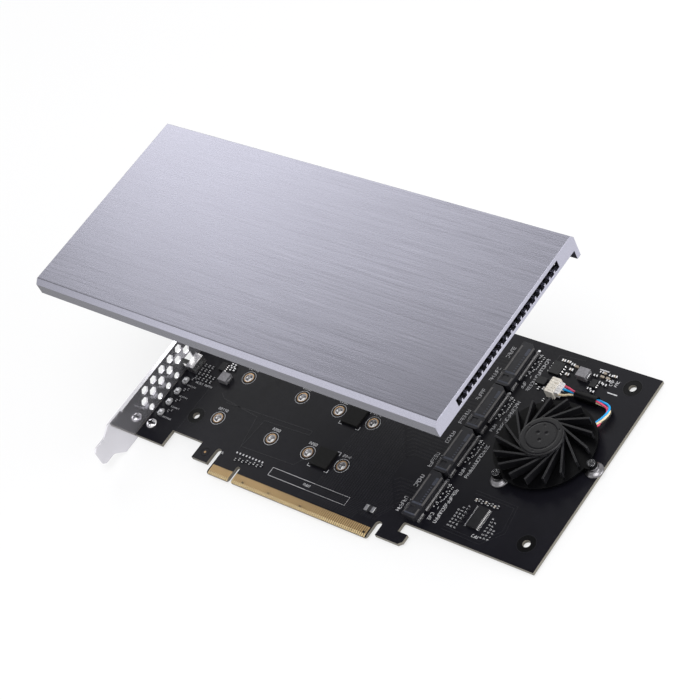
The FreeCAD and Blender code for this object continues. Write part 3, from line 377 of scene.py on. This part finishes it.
# Mesh building in millimetres
class Shape:
    """Closed forms collected into one piece."""

    def __init__(self):
        self.points = []
        self.faces = []

    def loft(self, loops, closed=False):
        """Joins loops of equal length with quads; the ends are capped unless the loops close."""
        start = len(self.points)
        size = len(loops[0])
        for loop in loops:
            self.points += [Vector(p) for p in loop]
        joins = len(loops) if closed else len(loops) - 1
        for i in range(joins):
            a = start + i * size
            b = start + ((i + 1) % len(loops)) * size
            for k in range(size):
                m = (k + 1) % size
                self.faces.append((a + k, a + m, b + m, b + k))
        if not closed:
            self.faces.append(tuple(start + k for k in reversed(range(size))))
            last = start + (len(loops) - 1) * size
            self.faces.append(tuple(last + k for k in range(size)))

    def block(self, x, y, z, length, width, height, bevel=0.0):
        """Block centred in plan, standing on z, with its top edges chamfered."""
        def ring(level, inset):
            a = length / 2 - inset
            b = width / 2 - inset
            return [(x - a, y - b, level), (x + a, y - b, level),
                    (x + a, y + b, level), (x - a, y + b, level)]
        loops = [ring(z, 0.0)]
        if bevel:
            loops += [ring(z + height - bevel, 0.0), ring(z + height, bevel)]
        else:
            loops += [ring(z + height, 0.0)]
        self.loft(loops)

    def turn(self, x, y, profile, steps=32, closed=True):
        """Solid of revolution from (radius, height) points."""
        loops = []
        for r, z in profile:
            loops.append([(x + r * math.cos(2 * math.pi * k / steps),
                           y + r * math.sin(2 * math.pi * k / steps), z) for k in range(steps)])
        self.loft(loops, closed)

    def ribbon(self, path, width, low, high):
        """Flat strip of constant width along a plan path, with mitred corners."""
        points = [Vector((p[0], p[1])) for p in path]
        ring = (points[0] - points[-1]).length < 1e-6
        if ring:
            points = points[:-1]
        count = len(points)
        loops = []
        for i, point in enumerate(points):
            before = points[i - 1] if (i or ring) else None
            after = points[(i + 1) % count] if (i < count - 1 or ring) else None
            one = (point - before).normalized() if before is not None else None
            two = (after - point).normalized() if after is not None else one
            one = one or two
            left = Vector((-one.y - two.y, one.x + two.x)) / (1.0 + one.dot(two)) * (width / 2)
            loops.append([(point.x + left.x, point.y + left.y, low),
                          (point.x - left.x, point.y - left.y, low),
                          (point.x - left.x, point.y - left.y, high),
                          (point.x + left.x, point.y + left.y, high)])
        self.loft(loops, ring)

    def mesh(self, name):
        """Mesh in metres with all faces turned outwards."""
        mesh = bpy.data.meshes.new(name)
        mesh.from_pydata([p * MM for p in self.points], [], self.faces)
        cleaned = bmesh.new()
        cleaned.from_mesh(mesh)
        bmesh.ops.recalc_face_normals(cleaned, faces=cleaned.faces)
        cleaned.to_mesh(mesh)
        cleaned.free()
        return mesh

    def make(self, name, material, body="card", smooth=False):
        """Piece of the visual model that rides on a body."""
        mesh = self.mesh(name)
        mesh.materials.append(material)
        piece = bpy.data.objects.new(name, mesh)
        scene.collection.objects.link(piece)
        if smooth:
            for face in mesh.polygons:
                face.use_smooth = True
            mesh.set_sharp_from_angle(angle=math.radians(38))
        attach(piece, body)
        return piece


def section(x, y, half, low, high):
    """Cross-section of a thin strip that runs along x."""
    return [(x, y - half, low), (x, y + half, low), (x, y + half, high), (x, y - half, high)]


# Stroke digits on a grid one unit wide and 1.6 high
DIGITS = {
    "0": [[(0, 0), (1, 0), (1, 1.6), (0, 1.6), (0, 0)]],
    "1": [[(0.2, 1.2), (0.6, 1.6), (0.6, 0)]],
    "2": [[(0, 1.6), (1, 1.6), (1, 0.8), (0, 0.8), (0, 0), (1, 0)]],
    "4": [[(0, 1.6), (0, 0.7), (1, 0.7)], [(0.8, 1.6), (0.8, 0)]],
    "6": [[(1, 1.6), (0, 1.6), (0, 0), (1, 0), (1, 0.8), (0, 0.8)]],
    "8": [[(0, 0), (1, 0), (1, 1.6), (0, 1.6), (0, 0)], [(0, 0.8), (1, 0.8)]],
}
# Short strokes that stand for unreadably small print
STROKES = [[(0, 0), (0, 1.6)], [(1, 0), (1, 1.6)], [(0, 1.6), (1, 1.6)], [(0, 0), (1, 0)],
           [(0, 0.8), (1, 0.8)]]
# Small print beside each socket, read upwards: x, y from the row, count, size, pitch
SOCKET_PRINT = ((78.5, 3.3, 5, 0.95, 1.15), (78.3, -9.1, 6, 0.95, 1.2), (80.6, -6.9, 5, 0.6, 0.95),
                (95.7, -8.2, 14, 0.85, 1.2), (92.7, -7.9, 3, 0.85, 1.2))
# White spots between the socket and its small print: x, y from the row
SOCKET_SPOTS = ((90.9, 7.7), (92.6, 6.4), (91.5, 5.8), (90.6, 4.5), (90.6, 2.6), (90.5, 0.1),
                (90.6, -1.9), (92.7, 3.6), (90.6, 8.9))
ink = Shape()


def ink_line(path, width):
    """Printed line."""
    ink.ribbon(path, width, INK_LOW, INK_HIGH)


def ink_strokes(strokes, x, y, size, upward_text):
    """One printed sign, upright or turned to be read upwards."""
    for stroke in strokes:
        if upward_text:
            path = [(x - py * size, y + px * size) for px, py in stroke]
        else:
            path = [(x + px * size, y + py * size) for px, py in stroke]
        ink_line(path, min(0.27, 0.04 + 0.23 * size))


def digits(text, x, y, size=0.66, pitch=1.08):
    """Number printed with its middle at x."""
    start = x - (len(text) - 1) * pitch / 2 - size / 2
    for k, letter in enumerate(text):
        ink_strokes(DIGITS[letter], start + k * pitch, y, size, False)


def small_print(x, y, count, size=0.7, pitch=1.0, upward_text=False):
    """Row of marks of three strokes each, along x or up along y."""
    for k in range(count):
        chosen = random.sample(STROKES, 3)
        if upward_text:
            ink_strokes(chosen, x, y + k * pitch, size, True)
        else:
            ink_strokes(chosen, x + k * pitch, y, size, False)


def circle(x, y, radius, steps=40):
    """Closed round path."""
    path = [(x + radius * math.cos(2 * math.pi * k / steps),
             y + radius * math.sin(2 * math.pi * k / steps)) for k in range(steps)]
    return path + [path[0]]


# White print on the board
for row_y in ROWS:
    for column, length in zip(COLUMNS, ("22110", "2280", "2260", "2242")):
        ink_line(circle(column, row_y, 3.2), 0.2)
        digits(length, column - 0.45, row_y + 4.0)
    for sx, sy in ((-1, -1), (1, -1), (1, 1)):
        px = PAD_X + sx * 5.2
        py = row_y + sy * 5.2
        ink_line([(px - sx * 1.6, py), (px, py), (px, py - sy * 1.6)], 0.26)
    for x, dy, count, size, pitch in SOCKET_PRINT:
        small_print(x, row_y + dy, count, size, pitch, True)
    for x, dy in SOCKET_SPOTS:
        ink_line([(x, row_y + dy - 0.3), (x, row_y + dy + 0.3)], 0.5)
    for dy in (1.9, -2.4):
        ink_line([(92.7, row_y + dy), (92.6, row_y + dy + 1.1)], 0.26)
ink_line([(14.6, 9.15), (55.2, 9.15), (55.2, 13.05), (14.6, 13.05), (14.6, 9.15)], 0.18)
small_print(32.4, 10.7, 4, 0.6, 0.95)
small_print(-12.0, 10.3, 1, 0.7)
small_print(-48.0, 36.2, 5, 0.55, 0.85)
small_print(-42.9, 36.2, 5, 0.55, 0.85)
for y in LIGHT_PARTS_Y:
    small_print(-50.8, y - 2.4, 6, 0.38, 0.85)
ink_line([(117.6, 103.0), (122.0, 103.0)], 0.5)
ink_line([(126.5, 94.1), (131.1, 94.1)], 0.5)
small_print(126.4, 97.4, 3, 0.7, 1.0, True)
small_print(128.6, 97.6, 3, 0.7, 1.0, True)
for k in range(9):
    x = -5.6 + 1.75 * k
    ink_line([(x, 12.9), (x, 13.7)], 0.7)
for x, count in ((101.4, 6), (102.9, 7), (104.6, 8), (117.0, 7), (118.6, 6), (120.1, 4)):
    small_print(x, 17.4, count, 0.5, 1.5, True)
small_print(112.8, 16.6, 3, 0.7, 1.0)
ink.make("board_print", silk_white)

# Copper dot of the fiducial
dot = Shape()
dot.turn(*FIDUCIAL, [(0.55, TOP), (0.55, TOP + 0.03), (0.01, TOP + 0.03), (0.01, TOP)], 20)
dot.make("fiducial_dots", copper_rim, smooth=True)


def washer(shape, x, y, inner, outer, rise, steps=48):
    """Flat ring that lies on the board."""
    shape.turn(x, y, [(inner, TOP), (inner, TOP + rise), (outer, TOP + rise), (outer, TOP)], steps)


# Dark lands round the cover's holes and the fiducial, each hole with a paler ring outside
collars = Shape()
halos = Shape()
for x, y in COVER_HOLES:
    washer(collars, x, y, 1.65, 2.1, 0.06)
    washer(collars, x, y, 2.1, 3.5, 0.03)
    washer(collars, x, y, 3.5, 3.8, 0.07)
    washer(halos, x, y, 3.8, 4.0, 0.05)
washer(collars, *FIDUCIAL, 1.7, 2.0, 0.04, 32)
collars.make("hole_collars", mask_dark, smooth=True)
halos.make("hole_halos", mask_trace, smooth=True)

# Copper runs that show through the mask: a pair for each lane of each socket, and some bends
runs = Shape()
for row, row_y in enumerate(ROWS):
    end_y = 8.2 if row == 0 else 5.4
    for lane in range(8):
        start_y = row_y - 6.5 + 1.55 * lane
        turn_x = 75.5 - 1.2 * lane - 9.8 * row
        for shift in (-0.22, 0.22):
            runs.ribbon([(81.0, start_y + shift), (turn_x + 2.5, start_y + shift),
                         (turn_x + shift, start_y - 2.5 + shift), (turn_x + shift, end_y + 8.0),
                         (turn_x - 4.0 + shift, end_y + 1.5), (turn_x - 4.0 + shift, end_y)],
                        0.2, TOP, RUN_HIGH)
for path in (
    [(-39.8, 12.6), (-39.8, 38.0)], [(-32.3, 36.1), (-29.4, 34.0), (-8.9, 31.5), (-5.9, 15.4)],
    [(-27.2, 32.6), (19.6, 34.3), (19.7, 32.1), (-4.3, 31.1), (-5.9, 16.0)],
    [(-5.7, 16.5), (22.1, 17.4), (25.6, 22.3)],
    [(103.1, 34.1), (121.5, 33.8), (123.1, 23.2), (117.1, 16.1), (99.4, 16.5)],
    [(102.6, 35.4), (122.6, 35.0), (124.6, 22.7), (117.8, 14.8), (99.2, 15.2)],
    [(98.2, 93.5), (98.2, 103.5), (110.0, 104.6)],
):
    runs.ribbon(path, 0.3, TOP, RUN_HIGH)
runs.make("board_runs", mask_trace)

# Pressed-in nuts: copper rim, silver collar, dished top and threaded bore
THREAD_TURNS = 9
THREAD_PITCH = 0.1
BORE_R = 1.0
nuts = Shape()
rims = Shape()
thread = []
for k in range(THREAD_TURNS):
    thread += [(BORE_R, 0.86 - THREAD_PITCH * k), (BORE_R + 0.07, 0.81 - THREAD_PITCH * k)]
nut_profile = [(1.8, 0.0), (1.8, TOP), (2.15, TOP), (2.15, TOP + 0.11), (1.72, TOP + 0.12),
               (1.45, TOP), (1.3, TOP - 0.2), (1.12, TOP - 0.6)] + thread + [(BORE_R, 0.0)]
rim_profile = [(2.38, TOP), (2.35, TOP + 0.08), (2.2, TOP + 0.115), (1.95, TOP + 0.118),
               (1.95, TOP + 0.02), (2.2, TOP)]
for column in COLUMNS:
    for row_y in ROWS:
        nuts.turn(column, row_y, nut_profile, 28)
        rims.turn(column, row_y, rim_profile, 36)
dressed_nuts = nuts.make("nut_barrels", nickel, smooth=True)
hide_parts("drive_inserts")
rims.make("nut_rims", copper_rim, smooth=True)

# Plating carried over the bevelled contact edge
PINS = 82
PINS_BEFORE_KEY = 11
PIN_HALF = 0.35
PLATE = 0.04
plating = Shape()
for pin in range(PINS):
    x = pin - PINS_BEFORE_KEY + (-0.5 if pin < PINS_BEFORE_KEY else 1.5)
    for top_side in (True, False):
        loops = []
        for y, z in ((0.04, 1.13), (1.30, TOP - 0.03), (1.38, TOP)):
            low, high = (z, z + PLATE) if top_side else (TOP - z, TOP - (z + PLATE))
            loops.append([(x - PIN_HALF, y, low), (x + PIN_HALF, y, low),
                          (x + PIN_HALF, y, high), (x - PIN_HALF, y, high)])
        plating.loft(loops)
plating.make("contact_noses", gold_bright)

# Socket details: solder tails behind, springs in the mouth, ribs on the roof that are lighter than the
# body as painted highlight along its edges, and marks on the roof
SOCKET_CONTACTS = 40
CONTACT_PITCH = 0.5
FIRST_CONTACT = -9.75
SOCKET_KEY = (-6.4, -5.0)
tails = Shape()
springs = Shape()
ridges = Shape()
marks = Shape()
for row_y in ROWS:
    for k in range(SOCKET_CONTACTS):
        y = row_y + FIRST_CONTACT + CONTACT_PITCH * k
        if SOCKET_KEY[0] < y - row_y < SOCKET_KEY[1]:
            continue
        tails.loft([section(SOCKET_END + x, y, 0.13, TOP + z - 0.07, TOP + z + 0.03)
                    for x, z in ((-0.35, 0.65), (0.2, 0.62), (0.45, 0.3), (0.6, 0.14), (1.25, 0.12))])
        for level, dip in ((1.22, 0.18), (2.18, -0.18)):
            springs.loft([section(SOCKET_X + x, y, 0.11, TOP + level + rise - 0.04,
                                  TOP + level + rise + 0.04)
                          for x, rise in ((0.35, 0.0), (1.1, dip), (2.6, 0.0))])
    for x, dy, length, width, height in ((SOCKET_X + 0.6, 2.4, 0.75, 13.2, 0.14),
                                         (SOCKET_X + 0.45, -7.6, 0.35, 4.4, 0.1),
                                         (SOCKET_END - 0.5, 2.1, 0.85, 14.2, 0.14),
                                         (SOCKET_END - 0.75, -8.2, 0.7, 3.0, 0.1)):
        ridges.block(x, row_y + dy, ROOF_MARK_Z, length, width, height, 0.05)
    places = [(SOCKET_END - 1.9, 6.6, 1.4, 3.6), (SOCKET_X + 3.3, -4.6, 4.6, 0.9),
              (SOCKET_X + 3.3, -9.6, 5.2, 0.7)]
    places += [(SOCKET_END - 2.0, -3.2 + 1.15 * k, 0.9, 0.5) for k in range(7)]
    for x, dy, length, width in places:
        marks.block(x, row_y + dy, ROOF_MARK_Z, length, width, 0.06, 0.02)
tails.make("socket_tails", tail_grey)
springs.make("socket_springs", gold)
ridges.make("socket_ribs", socket_rib_highlight)
marks.make("socket_marks", socket_mark)

# Chip parts with metal ends
chips_dark = Shape()
chips_tan = Shape()
chip_ends = Shape()


def chip(x, y, length, width, height, tan=False, end=0.24):
    """Part with its ends on its long side; end is the share of that side each end covers."""
    body = chips_tan if tan else chips_dark
    body.block(x, y, TOP + 0.05, length * 0.98, width * 0.98, height, 0.06)
    along_x = length > width
    run = length if along_x else width
    for sign in (-1, 1):
        shift = sign * (run / 2 - run * end / 2 + 0.03)
        if along_x:
            chip_ends.block(x + shift, y, TOP, run * end, width + 0.06, height + 0.1, 0.08)
        else:
            chip_ends.block(x, y + shift, TOP, length + 0.06, run * end, height + 0.1, 0.08)


for x, y in ((118.0, 99.4), (119.6, 101.6), (124.0, 101.4), (121.9, 97.0), (123.9, 96.6),
             (118.9, 92.9), (120.8, 92.1), (125.9, 101.6), (124.3, 98.8)):
    chip(x, y, 1.7, 0.95, 0.75, x > 125, 0.32)
for x, y in ((101.6, 101.5), (104.0, 101.6), (106.4, 101.0), (106.9, 98.6), (106.6, 96.0)):
    chip(x, y, 1.7, 1.1, 0.7, random.random() < 0.5, 0.34)
for x, y in ((97.0, 88.0), (99.9, 88.9), (99.0, 86.2), (96.2, 89.2), (101.0, 86.8)):
    chip(x, y, 0.8, 1.3, 0.45, x > 100.5, 0.34)
for x, y in ((104.0, 81.9), (106.2, 82.4), (109.0, 81.7), (107.6, 80.6)):
    chip(x, y, 0.7, 1.3, 0.4, False, 0.32)
chip(66.9, 11.6, 4.7, 2.5, 0.9, False, 0.32)
for row_y in ROWS:
    for x, dy in ((92.9, 7.8), (92.9, 4.7), (91.5, 8.6), (92.1, 1.2), (91.4, -0.4)):
        chip(x, row_y + dy, 0.6, 1.05, 0.35, False, 0.3)
for k in range(8):
    chip(105.4 + 1.45 * k, 31.4 + 0.35 * (k % 2), 0.7, 1.3, 0.5, k % 3 == 0, 0.3)
for k in range(8):
    chip(-4.0 + 1.9 * k, 10.0 + 0.16 * k + 0.5 * (k % 2), 0.6, 1.1, 0.4, False, 0.3)
for x, y in ((-37.1, 49.8), (-35.4, 49.7), (-34.6, 48.0), (-36.4, 47.8)):
    chip(x, y, 0.9, 1.6, 0.6, False, 0.36)
for line in range(4):
    for place in range(3 if line > 1 else 5):
        chip(-49.6 + 2.1 * place + 0.3 * (line % 2), 38.6 + 2.3 * line, 0.65, 1.2, 0.4, False, 0.3)
for y in LIGHT_PARTS_Y:
    chip(-50.2, y + 1.2, 0.6, 1.1, 0.4, False, 0.3)
    chip(-48.8, y + 2.0, 0.5, 0.9, 0.3, False, 0.3)
chips_dark.make("chip_parts_dark", ceramic_dark)
chips_tan.make("chip_parts_tan", ceramic_tan)
chip_ends.make("chip_part_ends", solder)

# Gull-wing legs of the controller and the regulators
legs = Shape()


def leg_rows(x, y, half, count, pitch, height, width, reach):
    """Legs on both long sides of a chip whose middle is at x, y."""
    for sign in (1, -1):
        for k in range(count):
            legs.loft([section(x + sign * (half + step), y + (k - (count - 1) / 2) * pitch, width / 2,
                               TOP + z - 0.06, TOP + z + 0.06)
                       for step, z in ((-0.15, height), (0.2, height), (0.42, 0.08), (reach, 0.06))])


leg_rows(110.7, ROWS[0], 2.35, 15, 0.65, 0.7, 0.4, 1.15)
leg_rows(100.9, 97.2, 2.5, 4, 1.27, 0.4, 0.5, 0.8)
leg_rows(119.4, 95.6, 1.3, 3, 0.95, 0.4, 0.35, 0.7)
leg_rows(-40.4, 47.5, 1.5, 4, 0.95, 0.4, 0.35, 0.7)
legs.make("chip_legs", tinned)

# Metal ends of the two inductors and of the status lights
terminals = Shape()
for y in LEDS:
    for step in (-1.45, 1.45):
        terminals.block(-52.5, y + step, TOP, 1.5, 0.55, 1.05, 0.1)
for x, y, side, height in ((113.6, 97.7, 4.5, 3.0), (-35.2, 42.4, 4.4, 2.4)):
    for sign in (-1, 1):
        terminals.block(x + sign * (side / 2 + 0.1), y, TOP, 0.5, side * 0.55, height * 0.55, 0.1)
terminals.make("inductor_ends", solder)

# Strip that closes the slit between the air guide and the end wall of the cover
lip = Shape()
lip.block(138.48, 51.85, 90.87, 0.78, 66.3, 0.58)
lip.make("guide_lip", rubber_black)

# Clear domes of the status lights, and dark blocks beside them as painted shade in the slit under each
# dome
domes = Shape()
slit_shade = Shape()
for y in LEDS:
    domes.turn(-52.55, y + 0.3, [(0.62, TOP + 1.28), (0.62, TOP + 1.4), (0.5, TOP + 1.6),
                                 (0.28, TOP + 1.74), (0.001, TOP + 1.78)], 20, closed=False)
    slit_shade.block(-52.5, y - 0.72, TOP + 1.2, 1.26, 0.34, 0.14)
domes.make("led_domes", led_resin, smooth=True)
slit_shade.make("led_slit_shade", rubber_black)

# Teeth along the back of the fan header and ribs on its plug
teeth = Shape()
ribs = Shape()
for k in range(6):
    teeth.block(104.75, 84.5 + 1.18 * k, TOP + 3.9, 0.9, 0.72, 0.62, 0.15)
for k in range(5):
    teeth.block(106.9, 84.9 + 1.3 * k, TOP + 4.1, 1.5, 0.5, 0.28, 0.1)
for k in range(5):
    ribs.block(109.4, 84.95 + 1.2 * k, TOP + 3.4, 1.7, 0.62, 0.3, 0.1)
teeth.make("header_teeth", cream)
ribs.make("plug_ribs", plug_white)


def domed_screw(name, x, y, seat, head_r, rise, shank_r, tip, recess, material):
    """Screw with a domed head and a cross recess; seat and tip are heights, recess half its span."""
    profile = [(0.001, tip), (shank_r - 0.15, tip), (shank_r, tip + 0.2), (shank_r, seat),
               (head_r, seat), (head_r, seat + 0.35 * rise)]
    for k in range(1, 7):
        angle = math.pi / 2 * k / 7
        profile.append((head_r * math.cos(angle) ** 0.75,
                        seat + rise * (0.35 + 0.65 * math.sin(angle))))
    profile.append((0.001, seat + rise))
    body = Shape()
    body.turn(x, y, profile, 36, closed=False)
    piece = body.make(name, material, smooth=True)
    long_side = 2 * recess
    short_side = 0.52 * recess
    for length, width in ((long_side, short_side), (short_side, long_side)):
        cutter = Shape()
        cutter.block(x, y, seat + 0.45 * rise, length, width, 2 * rise)
        tool = bpy.data.objects.new("tool", cutter.mesh("tool"))
        scene.collection.objects.link(tool)
        cut = piece.modifiers.new("cut", "BOOLEAN")
        cut.operation = "DIFFERENCE"
        cut.object = tool
        cut.solver = "EXACT"
        bpy.context.view_layer.update()
        result = bpy.data.meshes.new_from_object(
            piece.evaluated_get(bpy.context.evaluated_depsgraph_get()))
        piece.modifiers.clear()
        piece.data = result
        bpy.data.objects.remove(tool)
    return piece


bracket_screws = [domed_screw(f"bracket_screw_{k}", x, y, seat=TOP, head_r=2.5, rise=1.95, shank_r=1.45,
                              tip=-0.8, recess=1.6, material=screw_bright)
                  for k, (x, y) in enumerate(BRACKET_SCREWS, 1)]
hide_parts("bracket_screws")

# Painted shade: a dark floor in each cross recess, one long bar and two short ones
BAR = 0.78
recess_shade = Shape()
for x, y in BRACKET_SCREWS:
    for dy, length, width in ((0.0, 3.1, BAR), (0.96, BAR, 1.18), (-0.96, BAR, 1.18)):
        recess_shade.block(x, y + dy, TOP + 0.86, length, width, 0.62)
recess_shade.make("screw_recess_shade", rubber_black)

# Fan posts with flared feet
posts = Shape()
for x, y in FAN_SCREWS:
    posts.turn(x, y, [(1.0, TOP), (3.85, TOP), (3.85, TOP + 0.3), (3.6, TOP + 0.62),
                      (3.1, TOP + 0.95), (2.55, TOP + 1.2), (2.2, TOP + 1.5), (2.1, TOP + 1.9),
                      (2.1, TOP + 2.75), (1.95, TOP + 2.9), (1.0, TOP + 2.9)], 40)
dressed_posts = posts.make("fan_posts", post_metal, smooth=True)
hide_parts("fan_standoffs")

# Dimples of the disc on the hub: distance from the middle, radius, depth, angles
DIMPLES = ((2.1, 0.85, 0.22, (160, 50, 280)), (7.3, 0.35, 0.24, (42, 162, 276)),
           (4.8, 0.35, 0.2, (105,)))
DISC_STEPS = 120


def disc_height(x, y):
    """Height of the disc above the hub: flat, with a sunk ring, a sloped edge and dimples."""
    r = math.hypot(x, y)
    rise = 0.26
    if 6.0 < r < 6.7:
        rise -= 0.2 * math.sin(math.pi * (r - 6.0) / 0.7)
    if r > 8.3:
        rise -= 0.22 * (r - 8.3) / 0.5
    for reach, size, depth, angles in DIMPLES:
        for angle in angles:
            away = math.hypot(x - reach * math.cos(math.radians(angle)),
                              y - reach * math.sin(math.radians(angle)))
            if away < size:
                rise -= depth * (1 - (away / size) ** 2)
    return rise


hub = Shape()
hub_loops = []
for r in [0.01] + [0.18 * k for k in range(1, 49)] + [HUB_RADIUS]:
    loop = []
    for k in range(DISC_STEPS):
        x = r * math.cos(2 * math.pi * k / DISC_STEPS)
        y = r * math.sin(2 * math.pi * k / DISC_STEPS)
        loop.append((FAN[0] + x, FAN[1] + y, HUB_TOP + disc_height(x, y)))
    hub_loops.append(loop)
hub_loops.append([(x, y, HUB_TOP - 0.02) for x, y, _ in hub_loops[-1]])
hub.loft(hub_loops)
hub.make("hub_disc", hub_black, "rotor", smooth=True)


# Middle of the fan lead in plan, as in the source, from the sleeve to the stator
PLUG_X = (108.8, 111.6)
inward = math.radians(50)
ROUTE = [Vector((115.3, 87.8)), Vector((131.7, 87.8)), Vector((134.1, 84.5)), Vector((132.1, 76.8)),
         Vector((FAN[0] + 7.3 * math.cos(inward), FAN[1] + 7.3 * math.sin(inward)))]


def lead(name, node, material, pin_y, offsets):
    """Wire as a smooth curve beside the route; offsets are (sideways, upwards) in wire gaps."""
    ways = [(b - a).normalized() for a, b in zip(ROUTE, ROUTE[1:])]
    lefts = [Vector((-way.y, way.x)) for way in ways]
    points = [(x, pin_y, PIN_Z) for x in PLUG_X]
    for point, u, v, (sideways, upwards) in zip(ROUTE, [lefts[0]] + lefts, lefts + [lefts[-1]], offsets):
        moved = point + (u + v) * (WIRE_GAP * sideways / (1 + u.dot(v)))
        points.append((moved.x, moved.y, LEAD_Z + WIRE_GAP * upwards))
    curve = bpy.data.curves.new(name, "CURVE")
    curve.dimensions = "3D"
    curve.bevel_depth = WIRE_RADIUS * MM
    curve.bevel_resolution = 4
    curve.resolution_u = 16
    curve.use_fill_caps = True
    spline = curve.splines.new("NURBS")
    spline.points.add(len(points) - 1)
    for target, point in zip(spline.points, points):
        target.co = (point[0] * MM, point[1] * MM, point[2] * MM, 1.0)
    spline.order_u = 3
    spline.use_endpoint_u = True
    curve.materials.append(material)
    piece = bpy.data.objects.new(name, curve)
    scene.collection.objects.link(piece)
    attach(piece, "card")
    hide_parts(node)


lead("fan_wire_red", "lead_wire_red", wire_red, 89.65,
     ((1, 1), (-1.2, 1), (-1.6, -0.9), (1.6, -1), (1, 1)))
lead("fan_wire_blue", "lead_wire_blue", wire_blue, 88.15,
     ((1, -1), (1.2, 1), (0.2, 1.6), (-1.9, 0.8), (1, -1)))
lead("fan_wire_black", "lead_wire_black", wire_black, 86.65,
     ((-1, -1), (1, -1), (1.8, -0.8), (0.2, -1.4), (-1, -1)))
lead("fan_wire_yellow", "lead_wire_yellow", wire_yellow, 85.15,
     ((-1, 1), (-1, -1), (1.4, 0.8), (0.1, 1.0), (-1, 1)))


# Floor and light
def seen_rays(n):
    """One for camera, glossy and transmission rays, nought for all others."""
    rays = n.add("LightPath").outputs
    seen = n.add("Math", {0: rays["Is Camera Ray"], 1: rays["Is Glossy Ray"]},
                 operation="MAXIMUM").outputs[0]
    return n.add("Math", {0: seen, 1: rays["Is Transmission Ray"]}, operation="MAXIMUM").outputs[0]


def floor_material():
    """White to the eye for the most part, and matt, so that the shadow still shows."""
    material = bpy.data.materials.new("pale_floor")
    material.use_nodes = True
    tree = material.node_tree
    tree.nodes.clear()
    n = Nodes(tree)
    factor = n.add("Math", {0: seen_rays(n), 1: 0.72}, operation="MULTIPLY").outputs[0]
    diffuse = n.add("BsdfDiffuse", {"Color": (0.86, 0.86, 0.87, 1.0)})
    white = n.add("Emission", {"Color": (1.0, 1.0, 1.0, 1.0), "Strength": 1.0})
    both = n.add("MixShader", {0: factor, 1: diffuse.outputs[0], 2: white.outputs[0]})
    n.add("OutputMaterial", {"Surface": both.outputs[0]})
    return material


FLOOR_HALF = 4.0
floor_z = cad_low[2] - 0.0005
floor_mesh = bpy.data.meshes.new("floor")
floor_mesh.from_pydata([(sx * FLOOR_HALF, sy * FLOOR_HALF, floor_z)
                        for sx, sy in ((-1, -1), (1, -1), (1, 1), (-1, 1))], [], [(0, 1, 2, 3)])
floor_mesh.materials.append(floor_material())
floor = bpy.data.objects.new("floor", floor_mesh)
scene.collection.objects.link(floor)
floor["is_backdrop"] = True

world = bpy.data.worlds.new("studio")
scene.world = world
world.use_nodes = True
world.node_tree.nodes.clear()
w = Nodes(world.node_tree)
sky = w.add("Background", {"Color": (1.0, 1.0, 1.0, 1.0),
                           "Strength": w.spread(seen_rays(w), 0.5, 1.0)})
w.add("OutputWorld", {"Surface": sky.outputs[0]})


def lamp(name, place, target, size, power):
    """Square lamp that points at a target, in metres and watts."""
    data = bpy.data.lights.new(name, "AREA")
    data.shape = "SQUARE"
    data.size = size
    data.energy = power
    item = bpy.data.objects.new(name, data)
    scene.collection.objects.link(item)
    item.location = place
    item.rotation_euler = (Vector(target) - Vector(place)).to_track_quat("-Z", "Y").to_euler()


lamp("key", (0.45, -0.25, 1.5), (0.05, 0.05, 0.05), 0.9, 16.0)
lamp("sheen", (-1.91, 1.49, 1.60), (0.02, 0.05, 0.05), 0.9, 11.0)
lamp("side", (1.25, 0.35, 0.45), (0.05, 0.05, 0.05), 0.9, 9.0)
lamp("front", (-0.85, -1.05, 0.55), (0.04, 0.05, 0.08), 0.8, 1.0)
scene.view_settings.view_transform = "Standard"

low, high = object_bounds()
